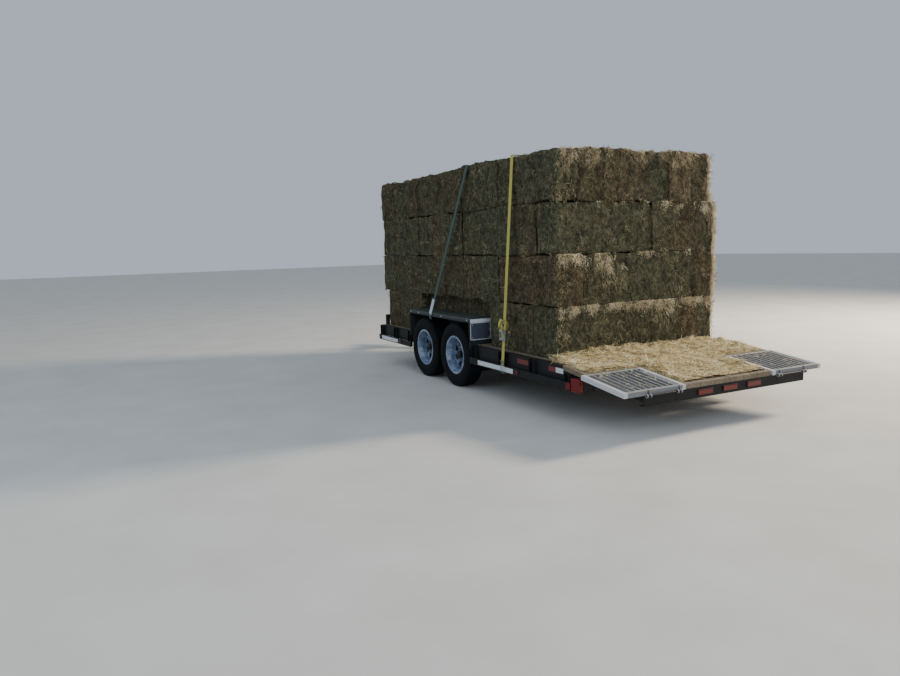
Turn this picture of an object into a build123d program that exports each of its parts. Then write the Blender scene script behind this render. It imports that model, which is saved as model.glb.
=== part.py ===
from build123d import *
import os
from math import atan2, cos, degrees, radians, sin

# Hay wagon: a low flatbed trailer with two axles, fold-over loading ramps and four layers of bales.
# Millimetres. X points right, Y forward, Z up. The ground is z = 0, and y = 0 is midway between the axles.

# Overall
overall_width = 2572
overall_half_length = 3558
half_width = overall_width / 2
fit_gap = 0.3
overcut = 1

# Wheels
tyre_diameter = 785
tyre_width = 225
axle_spacing = 850
tyre_inset = 4
bead_seat_radius = 221.6
bead_half_width = 88
bead_height = 22
bulge_share = 0.46
tyre_sides = 36
shoulder_half_width = 106
shoulder_drop = 30
tread_half_width = 88
rim_flange_thickness = 6
rim_flange_radius = 238
rim_wall = 6
rim_well_depth = 18
rim_well_half_width = 40
rim_well_ramp = 18
disc_thickness = 8
disc_set_in = 20
wheel_window_count = 8
wheel_window_inner_radius = 102
wheel_window_outer_radius = 182
wheel_window_share = 0.62
wheel_window_taper = 0.8

# Hubs, drums and axles
hub_flange_radius = 82
hub_flange_thickness = 10
drum_radius = 155
drum_length = 66
hub_nose_radius = 40
hub_nose_length = 62
hub_nose_chamfer = 7
hub_cap_thickness = 14
spindle_radius = 22
spindle_running_gap = 0.05
spindle_end_gap = 16
backing_plate_thickness = 4
backing_plate_gap = 2
axle_tube_diameter = 76
axle_tube_overhang = 18
axle_drop = 102
axle_arm_width = 44
axle_arm_half_depth = 40
axle_arm_margin = 4

# Deck and frame
deck_height = 560
board_thickness = 45
board_width = 184
board_gap = 5
narrowest_board = 20
deck_set_back = 1548
dovetail_start_y = -2600
rear_overhang = 38
dovetail_drop = 115
beam_height = 120
beam_width = 60
channel_wall = 8
crossmember_height = 76
crossmember_width = 50
crossmember_pitch = 500
dovetail_bar_height = 60
dovetail_bar_width = 50
side_rail_height = 150
side_rail_width = 50
side_rail_tail_share = 0.2065
side_rail_tail_rise = 20
rub_rail_thickness = 10
rub_rail_height = 76
rub_rail_bottom = 345
pocket_length = 90
pocket_depth = 36
pocket_wall = 6
pocket_pitch = 560
pocket_inset = 75
front_rail_height = 150
front_rail_tube = 50
front_rail_posts = 6
front_rail_inset = 20

# Fenders
fender_width = 314
fender_end_gap = 28.5
fender_top_height = 875
fender_skirt_depth = 48
fender_sheet = 6
fender_corner_radius = 30
mudflap_height = 340
mudflap_thickness = 8
mudflap_top = 60
mudflap_inset = 20
sign_height = 210
sign_top_drop = 50
sign_inset = 14
sign_thickness = 5

# Springs
spring_length = 660
leaf_thickness = 8
leaf_count = 4
leaf_step = 0.24
leaf_width = 45
spring_eye_radius = 17
spring_pin_radius = 8
spring_pin_head = 6
hanger_wall = 8
hanger_half_length = 26
hanger_lip = 4
equaliser_length = 218
equaliser_half_height = 22
equaliser_end_half_height = 13

# Ramps
ramp_width = 711
ramp_thickness = 45
ramp_axis_behind = 25
ramp_axis_below = 2
ramp_axis_gap = 12
ramp_share = 0.648
ramp_front_gap = 15
ramp_bar_width = 12
ramp_bar_depth = 32
ramp_bar_count = 9
ramp_frame_width = 38
ramp_cross_count = 2
ramp_cross_half_width = 20
ramp_cross_drop = 30
hinge_pin_radius = 9
hinge_pin_overhang = 10
hinge_tube_radius = 17
hinge_lug_thickness = 14
hinge_side_gap = 6
hinge_lug_foot = 10
hinge_lug_share = 0.12
hinge_lug_inset = 30
rear_member_height = 100
rear_member_depth = 55
rear_member_inset = 236

# Tongue, coupler and jack
tongue_set_in = 586
tongue_nose_x = 46
tongue_nose_length = 190
coupler_length = 298
tongue_rail_width = 50
tongue_rail_height = 110
coupler_width = 84
coupler_height = 70
coupler_wall = 9
coupler_nose_radius = 45
coupler_nose_solid = 55
latch_width = 20
latch_height = 26
latch_front = 20
latch_rear = 150
ball_socket_radius = 29.6
ball_socket_depth = 32
ball_set_back = 53
jack_set_back = 658
jack_tube_size = 64
jack_wall = 5
jack_leg_size = 53
jack_tube_top = 960
jack_leg_top = 520
jack_travel = 350
jack_travel_clearance = 8
jack_foot_size = 170
jack_foot_thickness = 12
jack_plate_thickness = 12
jack_plate_half_length = 90
jack_flange_reach = 34
jack_flange_thickness = 10
crank_drop = 60
crank_reach = 190
crank_bar_thickness = 10
crank_bar_width = 18
crank_shaft_radius = 9
crank_shaft_length = 42
crank_grip_radius = 13
crank_grip_length = 90
link_length = 62
link_width = 40
link_wire = 10
chain_links = 8
chain_side_place = 72
chain_set_back = 60
chain_drop = 12.6
chain_swing = 80

# Load
load_set_in = 176
load_rear_on_deck = 275
load_front_overhang = 110
bale_clear_of_fender = 10
bale_behind_fender = 200
layer_height = 526
layer_count = 4
bale_gap = 4
bale_chamfer = 14
rear_block_depth = 1085
crosswise_rows = 3
column_count = 8
front_columns = 3
bales_between_fenders = 5
bale_unevenness = 10
seam_unevenness = 16
straw_depth = 70
straw_bank = 120
straw_bank_depth = 46
straw_thin = 30
straw_rear_depth = 16
straw_end_gap = 30

# Straps, lamps and plates
strap_width = 50
strap_thickness = 4
strap_edge = 14
strap_hem = 10
strap_over_rail = 4
yellow_strap_from_rear = 735
green_strap_rise_y = 246
green_strap_foot_y = 170
ratchet_bottom = 690
ratchet_length = 210
ratchet_depth = 34
ratchet_cheek = 4
ratchet_cheek_gap = 8
ratchet_pin_place = 24
ratchet_pin_radius = 9
ratchet_drum_place = 112
ratchet_drum_radius = 22
ratchet_handle_place = 190
ratchet_handle_radius = 10
tape_thickness = 0.8
tape_margin = 12
white_tape_start = 194
white_tape_length = 750
marker_after_tape = 80
marker_from_fender = 354
marker_radius = 24
marker_depth = 10
rear_tape_count = 2
rear_tape_end = 170
rear_tape_length = 240
rear_tape_pitch = 570
rear_tape_drop = 35
rear_tape_height = 50
front_tape_start = 110
front_tape_length = 600
tail_lamp_bottom = 335
tail_lamp_width = 140
tail_lamp_depth = 130
tail_lamp_gap = 8
tail_lamp_corner = 12
rear_lamp_length = 180
rear_lamp_pitch = 320
rear_lamp_depth = 14
rear_lamp_drop = 70
rear_lamp_height = 44
rear_lamp_corner = 10

# Places and sizes that follow
tyre_radius = tyre_diameter / 2
axle_height = tyre_radius
wheel_outer_x = half_width - tyre_inset
wheel_centre_x = wheel_outer_x - tyre_width / 2
fender_inner_x = half_width - fender_width
beam_place_x = fender_inner_x - axle_tube_overhang - beam_width * 0.4
load_half_width = half_width - load_set_in
bottom_half_width = fender_inner_x - bale_clear_of_fender
rear_member_half_width = half_width - rear_member_inset
side_rail_outer_x = half_width - rub_rail_thickness - pocket_depth
ramp_inner_x = half_width - ramp_width
tongue_rear_x = half_width - tongue_set_in

deck_front_y = overall_half_length - deck_set_back
dovetail_end_y = rear_overhang - overall_half_length
dovetail_length = dovetail_start_y - dovetail_end_y
side_rail_end_y = dovetail_start_y - side_rail_tail_share * dovetail_length
front_member_y = deck_front_y - crossmember_width
ramp_axis_y = dovetail_end_y - ramp_axis_behind
tongue_nose_y = overall_half_length - coupler_length
ball_place_y = overall_half_length - ball_set_back
jack_place_y = overall_half_length - jack_set_back
load_rear_y = dovetail_start_y + load_rear_on_deck
load_front_y = deck_front_y + load_front_overhang
fender_half_length = axle_spacing / 2 + tyre_radius + fender_end_gap
bottom_clear_y = fender_half_length + 3 * bale_gap
bottom_rear_y = -fender_half_length - bale_behind_fender
yellow_strap_y = load_rear_y + yellow_strap_from_rear
green_strap_top_y = green_strap_rise_y - fender_half_length
white_tape_y = -fender_half_length - white_tape_start
rear_marker_y = white_tape_y - white_tape_length - marker_after_tape

board_underside = deck_height - board_thickness
beam_underside = board_underside - beam_height
tongue_underside = board_underside - tongue_rail_height
dovetail_slope = dovetail_drop / dovetail_length
dovetail_angle = degrees(atan2(dovetail_drop, dovetail_length))
spring_seat_height = axle_height - axle_drop + axle_tube_diameter / 2
spring_eye_height = spring_seat_height + (leaf_count - 0.5) * leaf_thickness
ramp_axis_height = board_underside - dovetail_drop - ramp_axis_below
ramp_length = ramp_share * dovetail_length / cos(radians(dovetail_angle))
jack_tube_bottom = jack_foot_thickness + jack_travel + jack_travel_clearance
load_top = deck_height + layer_count * layer_height

SIDES = (("left", -1), ("right", 1))
AXLES = (("front", axle_spacing / 2), ("rear", -axle_spacing / 2))


def board_line(y):
    # height of the underside of the boards, level on the deck and sloping down the dovetail
    return board_underside - max(0, dovetail_start_y - y) * dovetail_slope


def slab(low, high):
    # a block between two corners
    size = [b - a for a, b in zip(low, high)]
    return Pos(*[(a + b) / 2 for a, b in zip(low, high)]) * Box(*size)


def rod(centre, radius, length):
    # a round bar lying along X
    return Pos(*centre) * Rot(0, 90, 0) * Cylinder(radius, length)


def bar(start, end, across, width, height):
    # a straight bar of rectangular section from start to end, its width lying along across
    start, end = Vector(*start), Vector(*end)
    place = Plane(origin=start, x_dir=across, z_dir=end - start)
    return extrude(place * Rectangle(width, height), amount=(end - start).length)


def side_plate(outline, low_x, high_x):
    # a plate cut to a (y, z) outline and as thick as the two x places say
    face = Plane.YZ * make_face(Polyline(*outline, close=True))
    return Pos(low_x, 0, 0) * extrude(face, amount=high_x - low_x)


def turned(outline):
    # a solid turned about the X axis from an (x, radius) outline
    return revolve(make_face(Polyline(*outline, close=True)), Axis.X)


def on_side(shape, side):
    return shape if side > 0 else mirror(shape, about=Plane.YZ)


def pair(shape):
    return [shape, mirror(shape, about=Plane.YZ)]


def joined(shapes):
    whole = shapes[0]
    for shape in shapes[1:]:
        whole += shape
    return whole


def channel_outline(depth, height, wall):
    # a channel section, open towards negative X, with its back at x = 0 and its foot at y = 0
    return [(0, 0), (0, height), (-depth, height), (-depth, height - wall), (-wall, height - wall),
            (-wall, wall), (-depth, wall), (-depth, 0)]


def ring_of_flats(x, radius):
    # a regular polygon across the axle whose flats, not its corners, lie at the radius, with one flat below
    outline = RegularPolygon(radius, tyre_sides, major_radius=False, rotation=180 / tyre_sides)
    return Plane.YZ.offset(x) * outline


def tyre():
    # tread, shoulders and side walls between rings of flats, a recess down to each bead, and a round bore
    bulge = bead_seat_radius + bulge_share * (tyre_radius - bead_seat_radius)
    wall = tyre_width / 2
    half = ((wall, bulge), (shoulder_half_width, tyre_radius - shoulder_drop), (tread_half_width, tyre_radius))
    rings = [ring_of_flats(-x, radius) for x, radius in half] + [ring_of_flats(x, radius) for x, radius in half[::-1]]
    solid = loft(rings, ruled=True)
    for side in (-1, 1):
        recess = [ring_of_flats(side * wall, bulge - fit_gap),
                  ring_of_flats(side * bead_half_width, bead_seat_radius + bead_height)]
        solid -= loft(recess, ruled=True)
    return solid - rod((0, 0, 0), bead_seat_radius + fit_gap, tyre_width + 2 * overcut)


def rim():
    # a drop-centre barrel and a flat disc with eight windows
    lip = bead_half_width + fit_gap
    edge = lip + rim_flange_thickness
    seat, inside = bead_seat_radius, bead_seat_radius - rim_wall
    well, well_inside = seat - rim_well_depth, seat - rim_well_depth - rim_wall
    half, wide = rim_well_half_width, rim_well_half_width + rim_well_ramp
    outer = [(-edge, rim_flange_radius), (-lip, rim_flange_radius), (-lip, seat), (-wide, seat), (-half, well),
             (half, well), (wide, seat), (lip, seat), (lip, rim_flange_radius), (edge, rim_flange_radius)]
    inner = [(edge, inside), (half, well_inside), (-half, well_inside), (-edge, inside)]
    face, back = -disc_set_in, disc_thickness - disc_set_in
    centre = hub_nose_radius + fit_gap
    disc = turned([(face, centre), (face, well_inside + overcut), (back, well_inside + overcut), (back, centre)])
    half_turn = radians(180 / wheel_window_count * wheel_window_share)
    low, high = wheel_window_inner_radius, wheel_window_outer_radius
    narrow, broad = low * sin(half_turn * wheel_window_taper), high * sin(half_turn)
    corner = high * cos(half_turn)
    window = make_face(Polyline((-narrow, low), (-broad, corner), (0, high), (broad, corner), (narrow, low),
                                close=True))
    cutter = Pos(face - overcut, 0, 0) * extrude(Plane.YZ * window, amount=disc_thickness + 2 * overcut)
    for k in range(wheel_window_count):
        disc -= Rot(360 / wheel_window_count * (k + 0.5), 0, 0) * cutter
    return turned(outer + inner) + disc


def hub():
    # drum, flange and nose, turning on the spindle
    face = -disc_set_in
    back = face - hub_flange_thickness
    nose = face + hub_nose_length
    bore = spindle_radius + spindle_running_gap
    return turned([(back - drum_length, bore), (back - drum_length, drum_radius), (back, drum_radius),
                   (back, hub_flange_radius), (face, hub_flange_radius), (face, hub_nose_radius),
                   (nose - hub_nose_chamfer, hub_nose_radius), (nose, hub_nose_radius - hub_nose_chamfer),
                   (nose, 0), (nose - hub_cap_thickness, 0), (nose - hub_cap_thickness, bore)])


def axle():
    # a dropped tube, an upright arm at each end, the spindles and the brake backing plates
    tube_end = beam_place_x + beam_width / 2 + axle_tube_overhang
    arm_end = tube_end + axle_arm_width
    plate_x = wheel_centre_x - disc_set_in - hub_flange_thickness - drum_length - backing_plate_gap
    tip = wheel_centre_x - disc_set_in + hub_nose_length - spindle_end_gap
    arm_low = axle_drop + axle_tube_diameter / 2 + axle_arm_margin
    arm_high = axle_arm_half_depth + axle_arm_margin
    solid = rod((0, 0, -axle_drop), axle_tube_diameter / 2, 2 * tube_end)
    for shape in (slab((tube_end - overcut, -axle_arm_half_depth, -arm_low), (arm_end, axle_arm_half_depth, arm_high)),
                  rod(((arm_end + tip) / 2, 0, 0), spindle_radius, tip - arm_end),
                  rod((plate_x - backing_plate_thickness / 2, 0, 0), drum_radius - axle_arm_margin,
                      backing_plate_thickness)):
        for placed in pair(shape):
            solid += placed
    return solid


def leaf_spring():
    # a flat loaded pack, its eyes in line with the hanger pins and its foot on the axle tube
    half = spring_length / 2
    leaves = []
    for n in range(leaf_count):
        reach = half * (1 - leaf_step * n)
        top = (leaf_count - n) * leaf_thickness
        leaves.append(slab((-leaf_width / 2, -reach, top - leaf_thickness), (leaf_width / 2, reach, top)))
    eye_z = spring_eye_height - spring_seat_height
    shape = joined(leaves + [rod((0, end, eye_z), spring_eye_radius, leaf_width) for end in (-half, half)])
    for end in (-half, half):
        shape -= rod((0, end, eye_z), spring_pin_radius + fit_gap, leaf_width + 2 * overcut)
    return shape


def hanger(y):
    # two ears under the beam with the spring pin through them
    inner = leaf_width / 2 + fit_gap
    outer = inner + hanger_wall
    low = spring_eye_height - spring_eye_radius - hanger_lip
    ears = []
    for near, far in ((-outer, -inner), (inner, outer)):
        ears.append(slab((near, y - hanger_half_length, low), (far, y + hanger_half_length, beam_underside)))
    return joined(ears + [rod((0, y, spring_eye_height), spring_pin_radius, 2 * (outer + spring_pin_head))])


def spring_hangers(x):
    # the end hangers, and the middle one with the rocker that links the two springs
    half = spring_length / 2
    ends, inner_end = axle_spacing / 2 + half, axle_spacing / 2 - half
    rocker_half, tall, short = equaliser_length / 2, equaliser_half_height, equaliser_end_half_height
    rocker = make_face(Polyline((-rocker_half, -short), (0, -tall), (rocker_half, -short), (rocker_half, short),
                                (0, tall), (-rocker_half, short), close=True))
    inner = leaf_width / 2 + fit_gap + hanger_wall
    middle = [hanger(0)]
    for place in (inner + fit_gap, -inner - fit_gap - hanger_wall):
        middle.append(Pos(place, 0, spring_eye_height) * extrude(Plane.YZ * rocker, amount=hanger_wall))
    for y in (inner_end, -inner_end):
        middle.append(rod((0, y, spring_eye_height), spring_pin_radius, 2 * (inner + hanger_wall + spring_pin_head)))
    plates = joined(middle)
    return [Pos(x, 0, 0) * shape for shape in (hanger(ends), hanger(-ends), plates)]


def main_beam():
    # a channel that opens inwards, level under the deck and running down the dovetail to the rear member
    end_y = dovetail_end_y + rear_member_depth
    end_top = board_line(end_y)
    outer = beam_place_x + beam_width / 2
    top = [(deck_front_y, board_underside), (dovetail_start_y, board_underside), (end_y, end_top)]
    foot = [(deck_front_y, beam_underside), (dovetail_start_y + beam_width, beam_underside),
            (end_y, end_top - rear_member_height)]
    solid = side_plate(top + foot[::-1], outer - channel_wall, outer)
    for line, rise in ((top, -channel_wall), (foot, channel_wall)):
        strip = line + [(y, z + rise) for y, z in reversed(line)]
        solid += side_plate(strip, outer - beam_width, outer - channel_wall)
    return solid


def crossmember_places():
    # middles of the crossmembers, from the front member back to the dovetail
    first = front_member_y + crossmember_width / 2
    span = first - dovetail_start_y - crossmember_width
    count = round(span / crossmember_pitch)
    return [first - span * k / count for k in range(count + 1)]


def crossmembers():
    # channels whose ends are coped to lie under the beams' top flanges, with box wings out to the side rails
    web_x = beam_place_x + beam_width / 2 - channel_wall
    flange_x = beam_place_x - beam_width / 2 - fit_gap
    top, low = board_underside, board_underside - crossmember_height
    section = channel_outline(crossmember_width, crossmember_height, channel_wall)
    solids = []
    for y in crossmember_places():
        front, rear = y + crossmember_width / 2, y - crossmember_width / 2
        member = side_plate([(front + a, low + b) for a, b in section], -web_x, web_x)
        cope = slab((flange_x, rear - overcut, top - channel_wall - fit_gap),
                    (web_x + overcut, front + overcut, top + overcut))
        for placed in pair(cope):
            member -= placed
        solids.append(member)
        if abs(y) > fender_half_length:
            solids += pair(slab((web_x + channel_wall, rear, low), (side_rail_outer_x - channel_wall, front, top)))
    return solids


def rail_spans():
    # front and rear ends of the rails ahead of and behind the fender
    return (deck_front_y, fender_half_length), (-fender_half_length, side_rail_end_y)


def side_rail(front, rear):
    # a channel along the deck's edge, open towards the middle
    outline = channel_outline(side_rail_width, side_rail_height, channel_wall)
    face = Plane.XZ * make_face(Polyline(*outline, close=True))
    return Pos(side_rail_outer_x, front, deck_height - side_rail_height) * extrude(face, amount=front - rear)


def side_rails():
    # the rear rails end in a tapered block under the ramps
    low, lift = deck_height - side_rail_height, side_rail_tail_rise
    start, end = dovetail_start_y, side_rail_end_y
    tail = side_plate([(start, low), (start, board_line(start) - fit_gap), (end, board_line(end) - fit_gap),
                       (end, low + lift)], side_rail_outer_x - side_rail_width, side_rail_outer_x)
    ahead = side_rail(deck_front_y, fender_half_length)
    behind = side_rail(-fender_half_length, dovetail_start_y) + tail
    return pair(ahead) + pair(behind)


def pocket_places():
    # stake pockets along each rail segment
    places = []
    for front, rear in rail_spans():
        count = max(2, round((front - rear) / pocket_pitch) + 1)
        step = (front - rear - 2 * pocket_inset) / (count - 1)
        places += [front - pocket_inset - step * k for k in range(count)]
    return places


def rub_rails():
    # flat bars along the outside, ahead of and behind the fenders
    solids = []
    for front, rear in rail_spans():
        solids += pair(slab((half_width - rub_rail_thickness, rear, rub_rail_bottom),
                            (half_width, front, rub_rail_bottom + rub_rail_height)))
    return solids


def stake_pockets():
    # two walls at each pocket, between the side rail and the rub rail, which close it inside and outside
    solids = []
    for y in pocket_places():
        rear = y - pocket_length / 2
        top = board_line(rear) - 2 * fit_gap if rear < dovetail_start_y else deck_height
        for low in (rear, y + pocket_length / 2 - pocket_wall):
            solids += pair(slab((side_rail_outer_x, low, rub_rail_bottom),
                                (half_width - rub_rail_thickness, low + pocket_wall, top)))
    return solids


def board_rows():
    # (inner x, outer x) of the boards on the right half, outside the middle board
    rows = []
    edge = side_rail_outer_x - side_rail_width - board_gap
    low = board_width / 2 + board_gap
    while low + board_width / 2 < edge:
        high = min(low + board_width, edge)
        rows.append((low, high))
        low = high + board_gap
    return rows


def deck_boards():
    # boards run full length between the fenders, and stop short of them further out
    front, rear = deck_front_y, dovetail_start_y
    solids = [slab((-board_width / 2, rear, board_underside), (board_width / 2, front, deck_height))]
    for low, high in board_rows():
        stop = min(high, fender_inner_x - board_gap)
        pieces = []
        if stop - low > narrowest_board:
            pieces.append(slab((low, rear, board_underside), (stop, front, deck_height)))
        if high > fender_inner_x:
            clear = fender_half_length + board_gap
            pieces += [slab((low, a, board_underside), (high, b, deck_height)) for a, b in ((clear, front), (rear, -clear))]
        if stop - low > narrowest_board:
            pieces = [joined(pieces)]
        for piece in pieces:
            solids += pair(piece)
    return solids


def sloping_boards(low_x, high_x, end):
    # equal boards down the dovetail, filling the width between two x places
    start = dovetail_start_y - board_gap
    outline = [(start, board_line(start)), (start, board_line(start) + board_thickness),
               (end, board_line(end) + board_thickness), (end, board_line(end))]
    count = round((high_x - low_x) / (board_width + board_gap))
    width = (high_x - low_x - (count - 1) * board_gap) / count
    lows = [low_x + k * (width + board_gap) for k in range(count)]
    return [side_plate(outline, low, low + width) for low in lows]


def dovetail_boards():
    # full length between the ramps, and short ones outside them, as far as the ramps' front ends
    limit = ramp_inner_x - hinge_side_gap * 3
    solids = sloping_boards(-limit, limit, dovetail_end_y)
    front = ramp_axis_y + ramp_length * cos(radians(dovetail_angle)) + ramp_front_gap
    for board in sloping_boards(limit + board_gap, side_rail_outer_x - board_gap, front):
        solids += pair(board)
    return solids


def hinge_lug_places():
    # the inner and outer lug of the right-hand ramp
    return ramp_inner_x + ramp_width * hinge_lug_share, rear_member_half_width - hinge_lug_inset


def dovetail_frame():
    # rear crossmember between and beyond the beams, two bars further up, and the fixed hinge lugs and pins
    end, reach = dovetail_end_y, rear_member_half_width
    top = board_line(end)
    low = top - rear_member_height
    member = slab((-reach, end, low), (reach, end + rear_member_depth, top))
    member -= slab((-reach - overcut, end + channel_wall, low + channel_wall),
                   (reach + overcut, end + rear_member_depth + overcut, top - channel_wall))
    axis_z, half = ramp_axis_height, hinge_lug_thickness / 2
    for x in hinge_lug_places():
        lug = slab((x - half, ramp_axis_y, axis_z - hinge_tube_radius), (x + half, end, axis_z))
        lug += rod((x, ramp_axis_y, axis_z), hinge_tube_radius, hinge_lug_thickness)
        lug += slab((x - half, end - overcut, low + hinge_lug_foot), (x + half, end, axis_z))
        for placed in pair(lug):
            member += placed
    inner, outer = hinge_lug_places()
    pin = rod(((inner + outer) / 2, ramp_axis_y, axis_z), hinge_pin_radius,
              outer - inner + hinge_lug_thickness + 2 * hinge_pin_overhang)
    for placed in pair(pin):
        member += placed
    solids = [member]
    clear = beam_place_x - beam_width / 2 - fit_gap
    for share in (1 / 3, 2 / 3):
        y = dovetail_start_y - dovetail_length * share
        top = board_line(y - dovetail_bar_width / 2)
        solids.append(slab((-clear, y - dovetail_bar_width / 2, top - dovetail_bar_height),
                           (clear, y + dovetail_bar_width / 2, top)))
    return solids


def ramp():
    # a right-hand ramp lying on the dovetail; drawn level from the hinge axis and then tilted
    length = ramp_length
    low = ramp_axis_below + fit_gap
    high = low + ramp_thickness
    inner, outer, start, frame = ramp_inner_x, half_width, ramp_axis_gap, ramp_frame_width
    shape = slab((inner, start, low), (outer, length, high))
    shape -= slab((inner + frame, start + frame, low - overcut), (outer - frame, length - frame, high + overcut))
    pieces = [shape]
    step = (ramp_width - 2 * frame) / (ramp_bar_count + 1)
    for k in range(ramp_bar_count):
        x = inner + frame + step * (k + 1)
        pieces.append(slab((x - ramp_bar_width / 2, start + frame - overcut, high - ramp_bar_depth),
                           (x + ramp_bar_width / 2, length - frame + overcut, high)))
    span = length - start - 2 * frame
    for k in range(ramp_cross_count):
        y = start + frame + span * (k + 1) / (ramp_cross_count + 1)
        pieces.append(slab((inner + frame - overcut, y - ramp_cross_half_width, low),
                           (outer - frame + overcut, y + ramp_cross_half_width, high - ramp_cross_drop)))
    half = hinge_lug_thickness / 2
    centres = [x + side * (hinge_lug_thickness + hinge_side_gap) for x in hinge_lug_places() for side in (-1, 1)]
    for centre in centres:
        pieces.append(rod((centre, 0, 0), hinge_tube_radius, hinge_lug_thickness))
        pieces.append(slab((centre - half, 0, -hinge_pin_radius / 2), (centre + half, start + ramp_axis_below * 2,
                                                                      hinge_tube_radius)))
    shape = joined(pieces)
    for centre in centres:
        shape -= rod((centre, 0, 0), hinge_pin_radius + fit_gap, hinge_lug_thickness + 2 * overcut)
    for x in hinge_lug_places():
        notch = half + hinge_side_gap
        shape -= slab((x - notch, -2 * hinge_tube_radius, -2 * hinge_tube_radius),
                      (x + notch, 2 * start, high + overcut))
    return Pos(0, ramp_axis_y, ramp_axis_height) * Rot(dovetail_angle, 0, 0) * shape


def fender():
    # flat top with a short outer skirt, upright ends and a closed inner wall down to the boards
    top, skirt = fender_top_height, fender_top_height - fender_skirt_depth
    half, outer, sheet = fender_half_length, half_width, fender_sheet
    low = board_underside
    shell = slab((fender_inner_x, -half, low), (outer, half, top))
    top_edge = shell.edges().filter_by(Axis.Y).group_by(Axis.Z)[-1].sort_by(Axis.X)[-1:]
    shell = fillet(top_edge, fender_corner_radius)
    inside = slab((fender_inner_x + sheet, sheet - half, low - overcut), (outer - sheet, half - sheet, top - sheet))
    top_edge = inside.edges().filter_by(Axis.Y).group_by(Axis.Z)[-1].sort_by(Axis.X)[-1:]
    shell -= fillet(top_edge, fender_corner_radius - sheet)
    shell -= slab((fender_inner_x + sheet, -half - overcut, low - overcut), (outer + overcut, half + overcut, skirt))
    for near, far in ((-half, sheet - half), (half - sheet, half)):
        shell += slab((fender_inner_x, near, low), (outer, far, skirt))
    return shell


def mudflap():
    # rubber flap behind the rear tyre, hung on the inside of the fender's rear panel
    rear = fender_sheet - fender_half_length
    top = board_underside + mudflap_top
    return slab((fender_inner_x + mudflap_inset, rear, top - mudflap_height),
                (half_width - fender_sheet, rear + mudflap_thickness, top))


def sign_plate():
    # blank rectangular sign on the rear panel of the fender
    rear, high = -fender_half_length, fender_top_height - sign_top_drop
    return slab((fender_inner_x + sign_inset, rear - sign_thickness, high - sign_height),
                (half_width - sign_inset, rear, high))


def tongue_end_x():
    # middle of a tongue rail at its nose end
    return tongue_nose_x + tongue_rail_width / 2


def tongue_half_gap(y):
    # half the clear width between the two tongue rails at a place along them
    share = (y - deck_front_y) / (tongue_nose_y - deck_front_y)
    middle = tongue_rear_x + (tongue_end_x() - tongue_rear_x) * share
    lean = atan2(tongue_rear_x - tongue_end_x(), tongue_nose_y - deck_front_y)
    return middle - tongue_rail_width / 2 / cos(lean)


def tongue_rail():
    # drawn past the front member and cut back to it
    middle = tongue_underside + tongue_rail_height / 2
    start = Vector(tongue_rear_x, deck_front_y, middle)
    end = Vector(tongue_end_x(), tongue_nose_y, middle)
    run = end - start
    rail = bar(start - run * 0.05, end, (-run.Y, run.X, 0), tongue_rail_width, tongue_rail_height)
    low, high = tongue_underside - overcut, board_underside + overcut
    rail -= slab((0, deck_front_y - tongue_rear_x, low), (2 * tongue_rear_x, deck_front_y, high))
    return rail - slab((-tongue_rear_x, 0, low), (0, overall_half_length, high))


def tongue_nose():
    # a block welded between the rails where they come together
    back, front = tongue_nose_y - tongue_nose_length, tongue_nose_y
    wide, narrow = tongue_half_gap(back), tongue_half_gap(front)
    face = make_face(Polyline((-wide, back), (-narrow, front), (narrow, front), (wide, back), close=True))
    return Pos(0, 0, tongue_underside) * extrude(face, amount=tongue_rail_height)


def jack_plate():
    # a plate across the tongue rails, cut for the jack
    width = tongue_half_gap(jack_place_y) + tongue_rail_width * 0.9
    hole, y = jack_tube_size / 2 + fit_gap, jack_place_y
    low, high = board_underside, board_underside + jack_plate_thickness
    plate = slab((-width, y - jack_plate_half_length, low), (width, y + jack_plate_half_length, high))
    return plate - slab((-hole, y - hole, low - overcut), (hole, y + hole, high + overcut))


def coupler():
    # a channel body, a round nose bored for the ball, and the latch on top
    low, half = board_underside - coupler_height, coupler_width / 2
    nose_y = overall_half_length - coupler_nose_radius
    body = slab((-half, tongue_nose_y, low), (half, nose_y, board_underside))
    body += Pos(0, nose_y, low + coupler_height / 2) * Cylinder(coupler_nose_radius, coupler_height)
    body -= slab((coupler_wall - half, tongue_nose_y - overcut, low - overcut),
                 (half - coupler_wall, ball_place_y - coupler_nose_solid, board_underside - coupler_wall))
    body -= Pos(0, ball_place_y, low + ball_socket_depth / 2) * Cylinder(ball_socket_radius, ball_socket_depth)
    body -= Pos(0, ball_place_y, low + ball_socket_depth) * Sphere(ball_socket_radius)
    return body + slab((-latch_width / 2, ball_place_y - latch_rear, board_underside - overcut),
                       (latch_width / 2, ball_place_y - latch_front, board_underside + latch_height))


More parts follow.
